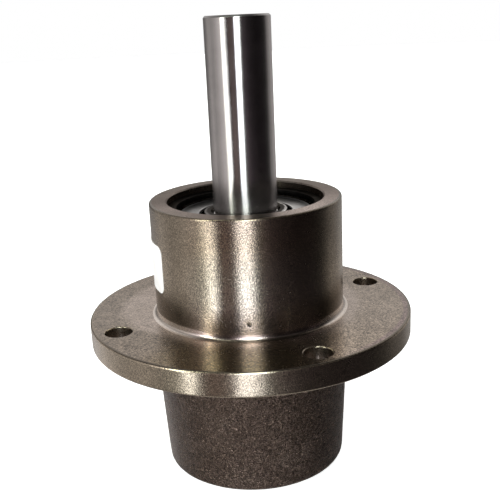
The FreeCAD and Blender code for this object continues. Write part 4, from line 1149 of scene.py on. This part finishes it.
    # the ceiling is dark overhead
    lid = t.remap(el, 50.0, 66.0, 0.0, 1.0, "SMOOTHSTEP")
    total = t.vec("SCALE", total, scale=t.remap(lid, 0.0, 1.0, 1.0, 0.42))
    total = t.mix(t.remap(el, -32.0, -44.0, 0.0, 1.0, "SMOOTHSTEP"), total, bench)
    total = t.mix(t.remap(el, -50.0, -62.0, 0.0, 1.0, "SMOOTHSTEP"), total, (0.62, 0.60, 0.58, 1.0))
    t.put(back.inputs["Color"], total)
    back.inputs["Strength"].default_value = 1.0


studio_world()


# ------------------------------------------------------------------ floor and backdrop
def stage_material(name, albedo, glow):
    m = bpy.data.materials.new(name)
    m.use_nodes = True
    m.node_tree.nodes.clear()
    t = Tree(m.node_tree)
    out = t.add("ShaderNodeOutputMaterial")
    emit = t.add("ShaderNodeEmission")
    emit.inputs["Strength"].default_value = glow
    if albedo:
        both = t.add("ShaderNodeAddShader")
        paper = t.add("ShaderNodeBsdfDiffuse")
        p = t.position()
        t.put(paper.inputs["Color"], t.ramp(t.noise(p, 30.0, 3.0), [(0.3, albedo * 0.99), (0.7, albedo)]))
        t.put(both.inputs[0], paper.outputs[0])
        t.put(both.inputs[1], emit.outputs[0])
        # only the upper side is there, so the part can be looked at from below
        clear = t.add("ShaderNodeBsdfTransparent")
        pick = t.add("ShaderNodeMixShader")
        t.put(pick.inputs[0], t.add("ShaderNodeNewGeometry").outputs["Backfacing"])
        t.put(pick.inputs[1], both.outputs[0])
        t.put(pick.inputs[2], clear.outputs[0])
        t.put(out.inputs["Surface"], pick.outputs[0])
    else:
        t.put(out.inputs["Surface"], emit.outputs[0])
    return m


def disc(name, radius, z, n=128):
    verts = [(0, 0, z)] + [(radius * math.cos(2 * math.pi * k / n), radius * math.sin(2 * math.pi * k / n), z) for k in range(n)]
    faces = [(0, 1 + k, 1 + (k + 1) % n) for k in range(n)]
    mesh = bpy.data.meshes.new(name)
    mesh.from_pydata(verts, [], faces)
    obj = bpy.data.objects.new(name, mesh)
    scene.collection.objects.link(obj)
    return obj


floor = disc("floor", 4.0, -64.0 * MM)
floor.data.materials.append(stage_material("pale_floor", 0.85, 0.80))
floor.visible_glossy = False
floor.visible_shadow = False

wall_mesh = bpy.data.meshes.new("backdrop")
n = 128
ring = [(4.0 * math.cos(2 * math.pi * k / n), 4.0 * math.sin(2 * math.pi * k / n)) for k in range(n)]
wall_mesh.from_pydata(
    [(x, y, -4.0) for x, y in ring] + [(x, y, 6.0) for x, y in ring] + [(0, 0, 6.0), (0, 0, -4.0)],
    [],
    [(k, (k + 1) % n, n + (k + 1) % n, n + k) for k in range(n)]
    + [(n + k, n + (k + 1) % n, 2 * n) for k in range(n)]
    + [((k + 1) % n, k, 2 * n + 1) for k in range(n)],
)
backdrop = bpy.data.objects.new("backdrop", wall_mesh)
scene.collection.objects.link(backdrop)
wall_mesh.materials.append(stage_material("pale_backdrop", None, 1.0))
for flag in ("visible_glossy", "visible_diffuse", "visible_shadow", "visible_transmission"):
    setattr(backdrop, flag, False)

# a large soft light overhead, for the paper and the floor
lamp = bpy.data.lights.new("overhead", "AREA")
lamp.shape = "DISK"
lamp.size = 1.6
lamp.energy = 9.0
lamp.color = (1.0, 0.965, 0.965)
lamp_obj = bpy.data.objects.new("overhead", lamp)
scene.collection.objects.link(lamp_obj)
lamp_obj.location = to_part @ Vector((-0.5, 0.3, 1.9))
lamp_obj.rotation_mode = "QUATERNION"
lamp_obj.rotation_quaternion = (lamp_obj.location - Vector((0, 0, 0.02))).to_track_quat("Z", "Y")
lamp_obj.visible_glossy = False

scene.view_settings.view_transform = "Standard"
scene.view_settings.look = "None"
scene.view_settings.exposure = 0.0
scene.view_settings.gamma = 1.0
